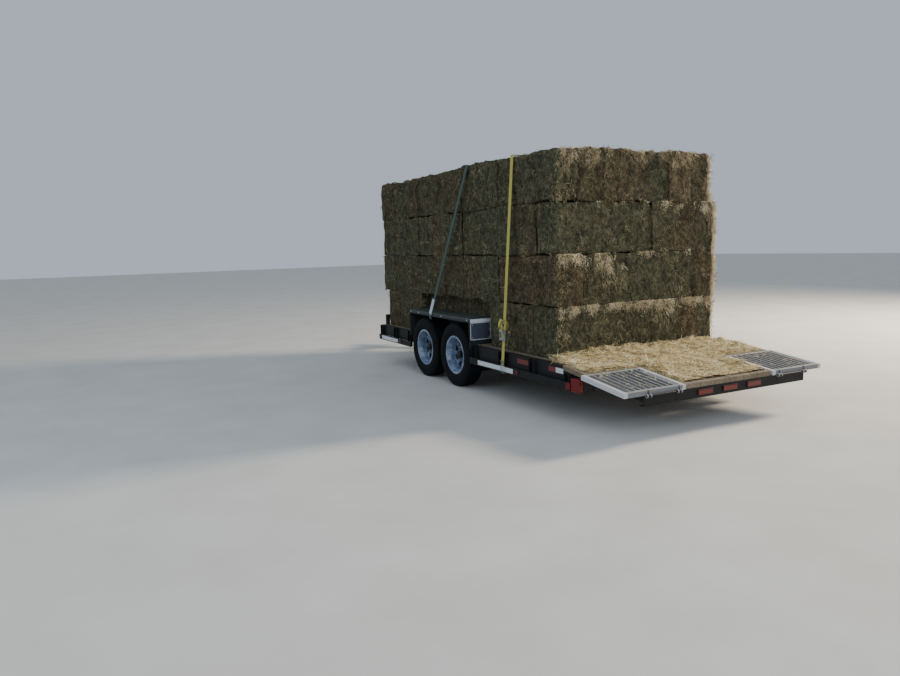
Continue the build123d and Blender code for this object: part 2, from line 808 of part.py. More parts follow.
def jack_tube():
    # square outer tube with its flange, crank shaft, crank and grip
    half, inner, y = jack_tube_size / 2, jack_tube_size / 2 - jack_wall, jack_place_y
    shape = slab((-half, y - half, jack_tube_bottom), (half, y + half, jack_tube_top))
    shape -= slab((-inner, y - inner, jack_tube_bottom - overcut), (inner, y + inner, jack_tube_top - jack_wall))
    low, reach = board_underside + jack_plate_thickness, half + jack_flange_reach
    flange = slab((-reach, y - reach, low), (reach, y + reach, low + jack_flange_thickness))
    flange -= slab((overcut - half, y - half + overcut, low - overcut),
                   (half - overcut, y + half - overcut, low + jack_flange_thickness + overcut))
    shaft_z = jack_tube_top - crank_drop
    grip_z = shaft_z - crank_reach
    arm_x = half + crank_shaft_length
    arm = slab((arm_x - crank_bar_thickness, y - crank_bar_width / 2, grip_z),
               (arm_x, y + crank_bar_width / 2, shaft_z + crank_shaft_radius))
    shaft = rod((half + crank_shaft_length / 2 - overcut, y, shaft_z), crank_shaft_radius, crank_shaft_length)
    grip = rod((arm_x + crank_grip_length / 2 - overcut, y, grip_z + crank_grip_radius), crank_grip_radius,
               crank_grip_length)
    return joined([shape, flange, shaft, arm, grip])


def jack_leg():
    # the inner leg and its foot, standing on the ground
    half, foot, y = jack_leg_size / 2, jack_foot_size / 2, jack_place_y
    leg = slab((-half, y - half, jack_foot_thickness), (half, y + half, jack_leg_top))
    return leg + slab((-foot, y - foot, 0), (foot, y + foot, jack_foot_thickness))


def front_rail():
    # low bulkhead of square tube across the front of the deck
    half = front_rail_tube / 2
    top = deck_height + front_rail_height
    y = deck_front_y - half
    reach = side_rail_outer_x - side_rail_width - front_rail_inset
    pieces = [slab((-reach, y - half, top - front_rail_tube), (reach, y + half, top))]
    for k in range(front_rail_posts):
        x = (half - reach) * (1 - 2 * k / (front_rail_posts - 1))
        pieces.append(slab((x - half, y - half, deck_height), (x + half, y + half, top - half)))
    return joined(pieces)


def bale(low, high):
    # one block of hay, a small gap from its neighbours
    inset = bale_gap / 2
    block = slab((low[0] + inset, low[1] + inset, low[2]), (high[0] - inset, high[1] - inset, high[2]))
    return chamfer(block.edges(), bale_chamfer)


def uneven(k, reach):
    # a small uneven amount, the same each time
    return reach * sin(k * 2.399 + 0.7)


# Bottom to top: the seams across the rear block as shares of its half width, and which bay holds crosswise bales
REAR_BLOCKS = (
    ((-1.0, 0.18, 0.47, 0.74, 1.0), 0),
    ((-1.0, -0.66, -0.32, 0.68, 1.0), 2),
    ((-1.0, 0.14, 0.45, 0.73, 1.0), 0),
    ((-1.0, -0.72, -0.36, 0.05, 0.36, 0.62, 0.92), None),
)


def rear_block(layer, low, high, front):
    seams, crosswise = REAR_BLOCKS[layer]
    bales = []
    for k in range(len(seams) - 1):
        a, b = seams[k] * load_half_width, seams[k + 1] * load_half_width
        rear = load_rear_y + uneven(layer * 7 + k, bale_unevenness)
        rows = crosswise_rows if k == crosswise else 1
        cuts = [rear] + [load_rear_y + (front - load_rear_y) * n / rows for n in range(1, rows)] + [front]
        bales += [bale((a, near, low), (b, far, high)) for near, far in zip(cuts, cuts[1:])]
    return bales


def column(layer, k, rear, front, low, high):
    # two bales end to end across the load
    middle = uneven(layer * 13 + k * 3, seam_unevenness)
    left = uneven(layer * 5 + k, bale_unevenness) - load_half_width
    right = load_half_width + uneven(layer * 11 + k, bale_unevenness)
    return [bale((left, rear, low), (middle, front, high)), bale((middle, rear, low), (right, front, high))]


def hay_layer(layer):
    low = deck_height + layer * layer_height
    high = low + layer_height
    rear = bottom_rear_y if layer == 0 else load_rear_y + rear_block_depth
    bales = rear_block(layer, low, high, rear)
    if layer == 0:
        width = 2 * bottom_half_width / bales_between_fenders
        for k in range(bales_between_fenders):
            left = k * width - bottom_half_width
            for a, b in ((rear, 0), (0, bottom_clear_y)):
                bales.append(bale((left, a, low), (left + width, b, high)))
        count, start, end = front_columns, bottom_clear_y, deck_front_y - front_rail_tube - bale_gap
    else:
        count, start, end = column_count, rear, load_front_y
    step = (end - start) / count
    for k in range(count):
        bales += column(layer, k, start + k * step, start + (k + 1) * step, low, high)
    return bales


def loose_hay():
    # the mat of loose straw over the dovetail boards, thin at the rear and banked against the bales
    start, end = load_rear_y - bale_unevenness - bale_gap, dovetail_end_y + straw_end_gap
    foot, tail = dovetail_start_y, board_line(end) + board_thickness
    outline = [(start, deck_height), (start, deck_height + straw_depth),
               (start - straw_bank, deck_height + straw_bank_depth), (foot, deck_height + straw_thin),
               (end, tail + straw_rear_depth), (end, tail), (foot, deck_height)]
    limit = ramp_inner_x - hinge_side_gap * 3
    return side_plate(outline, -limit, limit)


def strap_line():
    # (x, z) of the rear strap's inside face: foot, rub rail top, top edge of the load
    return ((half_width + tape_thickness + fit_gap, rub_rail_bottom + strap_hem),
            (half_width + tape_thickness + fit_gap, rub_rail_bottom + rub_rail_height + strap_over_rail),
            (load_half_width + strap_edge, load_top + fit_gap))


def yellow_strap():
    # up the rub rail, slanting in to the load's top edge and over it
    t = strap_thickness
    foot, bend, edge = strap_line()
    outline = [foot, bend, edge, (0, edge[1]), (0, edge[1] + t), (edge[0] + t, edge[1] + t), (bend[0] + t, bend[1]),
               (foot[0] + t, foot[1])]
    face = Plane.XZ * make_face(Polyline(*outline, close=True))
    half = Pos(0, yellow_strap_y + strap_width / 2, 0) * extrude(face, amount=strap_width)
    return half + mirror(half, about=Plane.YZ)


def green_strap():
    # over the load ahead of the rear strap, its legs slanting forward to the fenders
    top, edge, half = load_top + fit_gap, load_half_width + strap_edge, strap_width / 2
    foot = Vector(half_width + strap_thickness, green_strap_foot_y, fender_top_height - fender_skirt_depth / 2)
    head = Vector(edge, green_strap_top_y, top + strap_thickness / 2)
    run = head - foot
    leg = bar(foot, head, Vector(0, run.Z, -run.Y), strap_width, strap_thickness)
    across = edge + strap_thickness / 2
    over = slab((-across, green_strap_top_y - half, top), (across, green_strap_top_y + half, top + strap_thickness))
    return joined([over] + pair(leg))


def ratchet():
    # two cheeks, the slotted drum and two cross pins, lying against the left leg of the rear strap
    foot, bend, edge = strap_line()
    lean = atan2(bend[0] - edge[0], edge[1] + strap_thickness - bend[1])
    share = (ratchet_bottom - bend[1]) / (edge[1] + strap_thickness - bend[1])
    face_x = bend[0] + strap_thickness - share * (bend[0] - edge[0])
    half = strap_width / 2 + ratchet_cheek_gap
    t = ratchet_cheek / 2
    pieces = [slab((-ratchet_depth, y - t, 0), (-fit_gap, y + t, ratchet_length)) for y in (-half, half)]
    for z, r in ((ratchet_pin_place, ratchet_pin_radius), (ratchet_drum_place, ratchet_drum_radius - fit_gap),
                 (ratchet_handle_place, ratchet_handle_radius)):
        pieces.append(Pos(-ratchet_drum_radius, 0, z) * Rot(90, 0, 0) * Cylinder(r, 2 * half))
    return Pos(-face_x, yellow_strap_y, ratchet_bottom) * Rot(0, degrees(lean), 0) * joined(pieces)


def tail_lights():
    # box lamps under the ramps at the ends of the side rails
    front = side_rail_end_y
    high = board_line(front - tail_lamp_depth) - tail_lamp_gap - fit_gap
    lamp = slab((side_rail_outer_x - tail_lamp_width, front - tail_lamp_depth, tail_lamp_bottom),
                (half_width - tyre_inset, front, high))
    return pair(fillet(lamp.edges().filter_by(Axis.Y), tail_lamp_corner))


def marker_lights():
    # red lamps on the rear member and round ones on the rub rails
    rear = dovetail_end_y
    low = board_line(rear) - rear_lamp_drop
    half = rear_lamp_length / 2
    solids = []
    for x in (-rear_lamp_pitch, 0, rear_lamp_pitch):
        lamp = slab((x - half, rear - rear_lamp_depth, low), (x + half, rear, low + rear_lamp_height))
        solids.append(fillet(lamp.edges().filter_by(Axis.Y), rear_lamp_corner))
    for y in (rear_marker_y, fender_half_length + marker_from_fender):
        solids += pair(rod((half_width + marker_depth / 2, y, rub_rail_bottom + rub_rail_height / 2), marker_radius,
                           marker_depth))
    return solids


def tape():
    # reflective strips: two along each rub rail, and short ones high on the side rail before the tail lamps
    front_start = deck_front_y - front_tape_start
    solids = []
    for front, rear in ((white_tape_y, white_tape_y - white_tape_length), (front_start, front_start - front_tape_length)):
        solids += pair(slab((half_width, rear, rub_rail_bottom + tape_margin),
                            (half_width + tape_thickness, front, rub_rail_bottom + rub_rail_height - tape_margin)))
    top = deck_height - rear_tape_drop
    for k in range(rear_tape_count):
        rear = side_rail_end_y + rear_tape_end + k * rear_tape_pitch
        solids += pair(slab((side_rail_outer_x, rear, top - rear_tape_height),
                            (side_rail_outer_x + tape_thickness, rear + rear_tape_length, top)))
    return solids


def chain_link():
    # an eight-sided ring, drawn lying flat along X
    rings = []
    for length, width in ((link_length, link_width), (link_length - 2 * link_wire, link_width - 2 * link_wire)):
        x, y = length / 2, width / 2
        rings.append(make_face(Polyline((x, y / 2), (x - y / 2, y), (y / 2 - x, y), (-x, y / 2), (-x, -y / 2),
                                        (y / 2 - x, -y), (x - y / 2, -y), (x, -y / 2), close=True)))
    return extrude(rings[0] - rings[1], amount=link_wire / 2, both=True)


def chain():
    # a safety chain that hangs from the nose in a loop and comes back up beside the coupler
    step = link_length - 2 * link_wire - overcut
    place = Vector(chain_side_place, tongue_nose_y - chain_set_back, tongue_underside - chain_drop)
    links = []
    for k in range(chain_links):
        swing = radians(chain_swing * (2 * k / (chain_links - 1) - 1))
        direction = Vector(-0.04, cos(swing), sin(swing)).normalized()
        level = direction.cross(Vector(0, 0, 1))
        facing = level if k % 2 == 0 else level.cross(direction)
        links.append(Plane(origin=place + direction * (step / 2), x_dir=direction, z_dir=facing) * chain_link())
        place = place + direction * step
    return joined(links)


def save(name, solids):
    group = solids if isinstance(solids, list) else [solids]
    flat = [solid for shape in group for solid in shape.solids()]
    shape = flat[0] if len(flat) == 1 else Compound(children=flat)
    export_step(shape, os.path.join("parts", name + ".step"))


def build_all():
    os.makedirs("parts", exist_ok=True)
    save("main_beams", pair(main_beam()))
    save("crossmembers", crossmembers())
    save("side_rails", side_rails())
    save("rub_rails", rub_rails())
    save("stake_pockets", stake_pockets())
    save("deck_boards", deck_boards())
    save("dovetail_boards", dovetail_boards())
    save("dovetail_frame", dovetail_frame())
    save("front_rail", front_rail())
    for name, side in SIDES:
        save("fender_" + name, on_side(fender(), side))
        save("ramp_" + name, on_side(ramp(), side))
    save("mudflaps", pair(mudflap()))
    save("sign_plates", pair(sign_plate()))
    save("tongue_rails", pair(tongue_rail()))
    save("tongue_nose", tongue_nose())
    save("jack_plate", jack_plate())
    save("coupler", coupler())
    save("safety_chains", pair(chain()))
    save("jack_tube", jack_tube())
    save("jack_leg", jack_leg())
    wheel_parts = (("tyre", tyre()), ("rim", rim()), ("hub", hub()))
    for axle_name, y in AXLES:
        save("axle_" + axle_name, Pos(0, y, axle_height) * axle())
        for side_name, side in SIDES:
            for part_name, shape in wheel_parts:
                placed = Pos(wheel_centre_x, y, axle_height) * shape
                save(part_name + "_" + axle_name + "_" + side_name, on_side(placed, side))
    springs = []
    for name, y in AXLES:
        springs += pair(Pos(beam_place_x, y, spring_seat_height) * leaf_spring())
    save("leaf_springs", springs)
    save("spring_hangers", spring_hangers(-beam_place_x) + spring_hangers(beam_place_x))
    save("tail_lights", tail_lights())
    save("marker_lights", marker_lights())
    save("reflective_tape", tape())
    for layer in range(layer_count):
        save("hay_layer_" + str(layer + 1), hay_layer(layer))
    save("loose_hay", loose_hay())
    save("yellow_strap", yellow_strap())
    save("green_strap", green_strap())
    save("strap_ratchet", ratchet())


build_all()
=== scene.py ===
import bpy
import random
from functools import partial
from itertools import product
from math import cos, pi, radians, sin
from random import betavariate, gauss, uniform
from mathutils import Matrix, Vector, noise


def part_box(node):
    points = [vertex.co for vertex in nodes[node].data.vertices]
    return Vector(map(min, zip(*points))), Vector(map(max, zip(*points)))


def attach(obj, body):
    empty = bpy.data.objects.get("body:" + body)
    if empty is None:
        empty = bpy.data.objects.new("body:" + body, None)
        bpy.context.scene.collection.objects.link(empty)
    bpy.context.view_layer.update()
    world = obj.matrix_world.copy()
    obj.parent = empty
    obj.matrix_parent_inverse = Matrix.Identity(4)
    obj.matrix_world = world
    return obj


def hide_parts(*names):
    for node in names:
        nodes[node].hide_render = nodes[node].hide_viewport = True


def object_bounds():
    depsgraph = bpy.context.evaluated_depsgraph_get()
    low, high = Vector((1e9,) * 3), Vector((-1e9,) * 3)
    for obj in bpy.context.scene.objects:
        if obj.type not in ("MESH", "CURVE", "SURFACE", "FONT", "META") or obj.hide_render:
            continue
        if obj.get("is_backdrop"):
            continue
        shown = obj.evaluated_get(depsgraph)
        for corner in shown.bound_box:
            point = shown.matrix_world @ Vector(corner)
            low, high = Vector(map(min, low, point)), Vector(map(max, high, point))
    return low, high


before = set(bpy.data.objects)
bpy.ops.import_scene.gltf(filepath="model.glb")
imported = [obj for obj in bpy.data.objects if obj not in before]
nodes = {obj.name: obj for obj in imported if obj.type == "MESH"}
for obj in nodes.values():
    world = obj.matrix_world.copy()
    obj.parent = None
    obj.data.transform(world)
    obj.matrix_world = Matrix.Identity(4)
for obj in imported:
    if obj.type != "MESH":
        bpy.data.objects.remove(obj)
cadLow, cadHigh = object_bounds()


# Small tools used by every piece

def linearChannel(c):
    return c / 12.92 if c <= 0.04045 else ((c + 0.055) / 1.055) ** 2.4


def colour(hexText):
    return (*(linearChannel(int(hexText[i:i + 2], 16) / 255) for i in (1, 3, 5)), 1.0)


def addNode(tree, kind, *inOrder, stops=(), out=None, **named):
    # One shader node, its kind followed by its operation if it has one. Small names are its settings, capital
    # names its inputs, and what comes in order goes to the inputs in use. An input is a value, a hex colour or
    # another node's output. Every mix is of colours.
    kind, _, operation = kind.partition(" ")
    made = tree.nodes.new("ShaderNode" + kind)
    if kind == "Mix":
        made.data_type = "RGBA"
    if operation:
        made.operation = operation
    for name, value in named.items():
        if name[0].islower():
            setattr(made, name, value)
    inputs = list(zip([socket for socket in made.inputs if socket.enabled], inOrder))
    inputs += [(made.inputs[name], value) for name, value in named.items() if name[0].isupper()]
    for socket, value in inputs:
        if isinstance(value, bpy.types.NodeSocket):
            tree.links.new(value, socket)
        else:
            socket.default_value = colour(value) if isinstance(value, str) else value
    while stops and len(made.color_ramp.elements) < len(stops):
        made.color_ramp.elements.new(0.5)
    for k, (position, tone) in enumerate(stops):
        made.color_ramp.elements[k].position = position
        made.color_ramp.elements[k].color = colour(tone)
    return next((socket for socket in made.outputs if socket.enabled and out in (None, socket.name)), None)


def newMaterial(name, look, *tones):
    made = bpy.data.materials.new(name)
    made.use_nodes = True
    made.node_tree.nodes.clear()
    add = partial(addNode, made.node_tree)
    add("OutputMaterial", add("BsdfPrincipled", **look(add, add("TexCoord", out="Object"), *tones)))
    return made


def linked(piece):
    bpy.context.scene.collection.objects.link(piece)
    return piece


def deselectAll():
    if bpy.context.object and bpy.context.object.mode != "OBJECT":
        bpy.ops.object.mode_set(mode="OBJECT")
    bpy.ops.object.select_all(action="DESELECT")


def makeActive(piece):
    deselectAll()
    piece.select_set(True)
    bpy.context.view_layer.objects.active = piece


def copyOf(piece):
    # a copy with its own mesh
    made = piece.copy()
    made.data = piece.data.copy()
    return linked(made)


def meshPiece(name, points, faces, material, **faceValues):
    mesh = bpy.data.meshes.new(name)
    mesh.from_pydata(points, [], faces)
    mesh.materials.append(material)
    for key, values in faceValues.items():
        mesh.attributes.new(key, "FLOAT", "FACE").data.foreach_set("value", values)
    return linked(bpy.data.objects.new(name, mesh))


def fitTo(piece, body, slotName, *replaced):
    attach(piece, body)
    if replaced:
        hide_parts(*replaced)


def cadBlocks(nodeName):
    # low and high corners of each separate solid in a CAD node
    copy = copyOf(nodes[nodeName])
    copy.parent = None
    makeActive(copy)
    bpy.ops.object.mode_set(mode="EDIT")
    bpy.ops.mesh.select_all(action="SELECT")
    bpy.ops.mesh.remove_doubles(threshold=0.00005)
    bpy.ops.mesh.separate(type="LOOSE")
    bpy.ops.object.mode_set(mode="OBJECT")
    blocks = []
    for part in list(bpy.context.selected_objects):
        corners = [v.co for v in part.data.vertices]
        blocks.append([Vector([pick(c[i] for c in corners) for i in range(3)]) for pick in (min, max)])
        bpy.data.objects.remove(part)
    return sorted(blocks, key=lambda b: (round(b[0].z, 2), round(b[0].y, 2), round(b[0].x, 2)))


# Camera, floor and light. The camera was fitted to the photo: turned right of +Y, tipped down and rolled

view = {"place": (-5.2639, -8.0464, 1.7293), "right": 27.347, "down": 7.454, "roll": 1.586, "lens": 28.122}
cameraData = bpy.data.cameras.new("camera")
cameraData.lens = view["lens"]
cameraData.sensor_width = 36
camera = linked(bpy.data.objects.new("camera", cameraData))
turn = (Matrix.Rotation(-radians(view["right"]), 4, "Z")
        @ Matrix.Rotation(radians(90 - view["down"]), 4, "X")
        @ Matrix.Rotation(-radians(view["roll"]), 4, "Z"))
camera.matrix_world = Matrix.Translation(view["place"]) @ turn
bpy.context.scene.camera = camera


def studioFloor(add, place):
    # Matt painted board, only faintly mottled
    mottle = add("TexNoise", place, 1.4, 4, 0.55)
    return {"Base Color": add("ValToRGB", mottle, stops=((0.3, "#c9c6c0"), (0.7, "#d3d1cc"))), "Roughness": 0.9}


floorSize = {"half": 60}
deselectAll()
bpy.ops.mesh.primitive_plane_add(size=2 * floorSize["half"], location=(0, 0, 0))
floor = bpy.context.object
floor.name = "floor"
floor.data.materials.append(newMaterial("pale studio floor", studioFloor))
floor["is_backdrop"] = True

lamps = (   # name, place, aim, size, power, tone
    ("key", (12.5, -3.2, 7.0), (0.4, -1.0, 0.8), 2.2, 3300, "#fff0d8"),
    ("rearFill", (-3.0, -12.0, 6.0), (0.0, -2.0, 1.2), 6.0, 330, "#e4ecf6"),
    ("sideFill", (-9.0, -2.5, 4.0), (-1.0, -1.0, 1.2), 6.0, 120, "#b9d6ee"),
)
for name, lampPlace, aim, size, power, tone in lamps:
    lampData = bpy.data.lights.new(name, "AREA")
    lampData.size = size
    lampData.energy = power
    lampData.color = colour(tone)[:3]
    lamp = linked(bpy.data.objects.new(name, lampData))
    lamp.location = lampPlace
    lamp.rotation_euler = (Vector(aim) - Vector(lampPlace)).to_track_quat("-Z", "Y").to_euler()

world = bpy.data.worlds.new("studio")
world.use_nodes = True
backdrop = world.node_tree.nodes["Background"]
backdrop.inputs["Color"].default_value = colour("#cfdbe8")
backdrop.inputs["Strength"].default_value = 0.75
bpy.context.scene.world = world
print("stage: camera, floor and light")


# Materials: each look takes the node function and the object's coordinates, and gives the shader's inputs

def baledHay(add, place):
    # Cut and pressed: dull olive to brown stems a few millimetres wide, drawn about 12 mm wide so they show
    tint = add("Attribute", attribute_name="baleTint", out="Fac")
    stems = add("TexNoise", add("Mapping", place, Scale=(46, 46, 24)), 1.0, 6, 0.8)
    flakes = add("TexNoise", add("Mapping", place, Scale=(18, 18, 5)), 1.0, 3, 0.55)
    flecks = add("TexNoise", place, 15.0, 3, 0.55)
    patches = add("TexNoise", place, 4.5, 4, 0.55)
    # the darkest stops of both ramps are painted shade between the stems, and the palest partly painted highlight
    greens = (0.32, "#25271c"), (0.47, "#474837"), (0.58, "#64634c"), (0.72, "#958c6b")
    browns = (0.32, "#261f17"), (0.47, "#4b4031"), (0.58, "#685943"), (0.72, "#9c8865")
    green, brown = [add("ValToRGB", stems, stops=stops) for stops in (greens, browns)]
    mottle = add("Math MULTIPLY_ADD", flecks, 1.1, add("Math ADD", tint, -1.3))
    base = add("Mix", add("Math MULTIPLY_ADD", patches, 1.5, mottle), green, brown)
    for texture, gain, start, most, tone in (
            (add("TexNoise", place, 24.0, 4, 0.65), 3.2, -1.6, 1.0, "#8f8768"),   # bleached stems, partly painted highlight where stems catch the light
            (flakes, -2.6, 1.3, 1.0, "#201e15"),                                  # painted shade in the gaps between flakes
            (add("TexNoise", place, 7.0, 3, 0.55), -2.6, 1.3, 0.6, "#1f2018")):   # damp blotches
        level = add("Math MULTIPLY_ADD", texture, gain, start)
        base = add("Mix", add("Math MINIMUM", level, most), base, tone)
    relief = add("Math ADD", stems, flakes)
    return {"Base Color": base, "Roughness": 0.95, "Specular IOR Level": 0.15,
            "Normal": add("Bump", Height=relief, Distance=0.022)}


def hayStem(add, place):
    # Single dry stems on the bales, each its own shade of its bale's green or brown
    tint, shade = [add("Attribute", attribute_name=name, out="Fac") for name in ("baleTint", "stemShade")]
    green = add("ValToRGB", shade, stops=((0.0, "#292a1f"), (0.5, "#68674e"), (1.0, "#aba27b")))
    brown = add("ValToRGB", shade, stops=((0.0, "#2d241b"), (0.5, "#736148"), (1.0, "#b59f77")))
    return {"Base Color": add("Mix", tint, green, brown), "Roughness": 0.8, "Specular IOR Level": 0.2}


def cutStraw(add, place, dark, middle, pale):
    # Cut dry stems with a slight waxy shine, each its own shade
    shade = add("Attribute", attribute_name="stemShade", out="Fac")
    return {"Base Color": add("ValToRGB", shade, stops=((0.0, dark), (0.5, middle), (1.0, pale))),
            "Roughness": 0.7, "Specular IOR Level": 0.3}


def troddenStraw(add, place):
    # Short trodden straw: stems lying every way, with painted shade in the dark gaps between them
    ways = [add("Mapping", place, Scale=scale) for scale in ((14, 120, 60), (120, 14, 60))]
    stems = add("Math MAXIMUM", *[add("TexNoise", way, 1.0, 4, 0.7) for way in ways])
    # the darkest stop is the painted shade between the stems
    tones = (0.45, "#3a2e1e"), (0.54, "#b59b65"), (0.63, "#eed8a0"), (0.78, "#fff4d0")
    base = add("ValToRGB", stems, stops=tones)
    trodden = add("Math MULTIPLY_ADD", add("TexNoise", place, 8.0, 4, 0.6), -5.0, 2.6)
    return {"Base Color": add("Mix", trodden, base, "#5d4b31"), "Roughness": 0.85,
            "Normal": add("Bump", Height=stems, Distance=0.02)}


def enamelPaint(add, place, tone, dust, worn, rough=0.5, dustLevel=0.5, rails=None):
    # Sprayed enamel on rolled steel: road dust in broad patches and small chips to worn metal
    dirt = add("TexNoise", place, 5.0, 5, 0.65)
    chips = add("TexNoise", place, 60.0, 2, 0.4)
    up = add("Math MAXIMUM", add("SeparateXYZ", add("NewGeometry", out="Normal"), out="Z"), 0.0)
    lying = add("Math MULTIPLY_ADD", up, dustLevel, 0.35)
    if rails:   # painted light and shade on the ramps: the outer frame pale as its sunlit edge, the slats darker for the shade seen through them
        x = add("Math ABSOLUTE", add("SeparateXYZ", place, out="X"))
        across = add("Math ABSOLUTE", add("Math SUBTRACT", x, 0.93))
        tone = add("Mix", add("Math GREATER_THAN", across, 0.317), tone, rails)
    base = add("Mix", add("Math MULTIPLY", dirt, lying), tone, dust)
    base = add("Mix", add("Math GREATER_THAN", chips, 0.74), base, worn)
    relief = add("Math MULTIPLY_ADD", chips, 0.3, dirt)
    return {"Base Color": base, "Roughness": add("Math MULTIPLY_ADD", dirt, 0.35, rough - 0.1),
            "Specular IOR Level": 0.3, "Normal": add("Bump", Height=relief, Distance=0.0015)}


def weatheredPine(add, place, boardPitch=0.189):
    # Treated pine planks gone grey-brown: grain along the board, each board its own tone
    grain = add("TexNoise", add("Mapping", place, Scale=(90, 3.5, 60)), 1.0, 5, 0.7)
    x = add("Math ADD", add("SeparateXYZ", place, out="X"), boardPitch / 2)
    board = add("Math FLOOR", add("Math DIVIDE", x, boardPitch))
    tone = add("Math MULTIPLY", add("TexWhiteNoise", board, noise_dimensions="1D"), 0.5)
    light = add("ValToRGB", grain, stops=((0.25, "#4d4236"), (0.6, "#8d7f69"), (0.8, "#a99c86")))
    return {"Base Color": add("Mix", tone, light, "#5b4a38"), "Roughness": 0.85,
            "Normal": add("Bump", Height=grain, Distance=0.002)}


def tyreRubber(add, place):
    # Moulded rubber, dull black with road dust in the recesses
    dust = add("TexNoise", place, 14.0, 5, 0.7)
    return {"Base Color": add("ValToRGB", dust, stops=((0.3, "#08090c"), (0.6, "#101216"), (0.85, "#26251f"))),
            "Roughness": 0.8, "Specular IOR Level": 0.2,
            "Normal": add("Bump", Height=add("TexNoise", place, 220.0, 2, 0.55), Distance=0.0004)}


def wheelEnamel(add, place, axleY=0.425, axleZ=0.3925):
    # White enamel on pressed steel, its tones darkened and tinted blue-grey as painted shade, greyed by brake dust
    # towards the middle and rust at the seams
    grime = add("TexNoise", place, 9.0, 5, 0.7)
    # painted shade: the white enamel's tones are set dark and bluish, as the wheels stand in shade
    base = add("ValToRGB", grime, stops=((0.3, "#3b4757"), (0.5, "#7686a0"), (0.75, "#b6c6da")))
    rust = add("Math GREATER_THAN", add("TexNoise", place, 42.0, 3, 0.55), 0.71)
    base = add("Mix", add("Math MULTIPLY", rust, 0.6), base, "#6b4a35")
    ahead = add("Math ABSOLUTE", add("SeparateXYZ", place, out="Y"))
    ahead = add("Math SUBTRACT", ahead, axleY)
    above = add("Math SUBTRACT", add("SeparateXYZ", place, out="Z"), axleZ)
    square = add("Math MULTIPLY_ADD", ahead, ahead, add("Math MULTIPLY", above, above))
    soot = add("Math MULTIPLY_ADD", add("Math SQRT", square), -7.0, 1.225)
    base = add("Mix", add("Math MINIMUM", soot, 0.8), base, "#14181f")
    return {"Base Color": base, "Roughness": 0.38, "Coat Weight": 0.3}


def zincPlate(add, place, low, high, rough=0.45):
    # Zinc plated steel: spangled grey metal, dulled by weather
    grime = add("TexNoise", place, 12.0, 4, 0.55)
    metal = add("ValToRGB", grime, stops=((0.3, low), (0.7, high)))
    spangle = add("TexVoronoi", place, 90.0, out="Color")
    return {"Base Color": add("Mix", 0.12, metal, spangle), "Metallic": 0.85,
            "Roughness": add("Math MULTIPLY_ADD", grime, 0.3, rough - 0.1)}


def acrylicLens(add, place):
    # Moulded red acrylic with fine ribs behind a smooth face; its deep red is partly painted shade
    ribs = add("TexWave", place, 40.0, bands_direction="X", out="Fac")
    grime = add("Math MULTIPLY", add("TexNoise", place, 20.0, 3, 0.55), 0.25)
    # the lens red is set darker than the acrylic's own as painted shade
    return {"Base Color": add("Mix", grime, "#6e070c", "#41261f"), "Roughness": 0.25,
            "Specular IOR Level": 0.3, "Coat Weight": 0.15, "Normal": add("Bump", Height=ribs, Distance=0.0008)}


def reflectiveTape(add, place, redStart=-2.50, redEnd=-1.80):
    # Prismatic tape: white on the rub rail, red blocks on the short strips high on the side rail; the red is set
    # darker as painted shade
    along = add("SeparateXYZ", place, out="Y")
    red = [add("Math GREATER_THAN", along, redStart), add("Math LESS_THAN", along, redEnd)]
    # the red tone is partly painted shade
    base = add("Mix", add("Math MULTIPLY", *red), "#dcdfe4", "#720a10")
    cells = add("TexVoronoi", place, feature="DISTANCE_TO_EDGE", Scale=160.0)
    grime = add("Math MULTIPLY", add("TexNoise", place, 8.0, 4, 0.55), 0.25)
    return {"Base Color": add("Mix", grime, base, "#6d6658"), "Roughness": 0.35,
            "Normal": add("Bump", Height=cells, Distance=0.0006)}


def wovenWebbing(add, place, tone, deep):
    # Woven polyester, threads drawn about 4 mm apart so the weave shows, with a soft sheen
    across = add("TexWave", place, 40.0, bands_direction="Z", out="Fac")
    along = add("TexWave", place, 60.0, bands_direction="Y", out="Fac")
    weave = add("Math MULTIPLY", across, along)
    wear = add("Math MULTIPLY", add("TexNoise", place, 6.0, 4, 0.55), 0.35)
    level = add("Math MULTIPLY_ADD", weave, 0.45, wear)
    return {"Base Color": add("Mix", level, tone, deep), "Roughness": 0.75,
            "Sheen Weight": 0.25, "Normal": add("Bump", Height=weave, Distance=0.0012)}


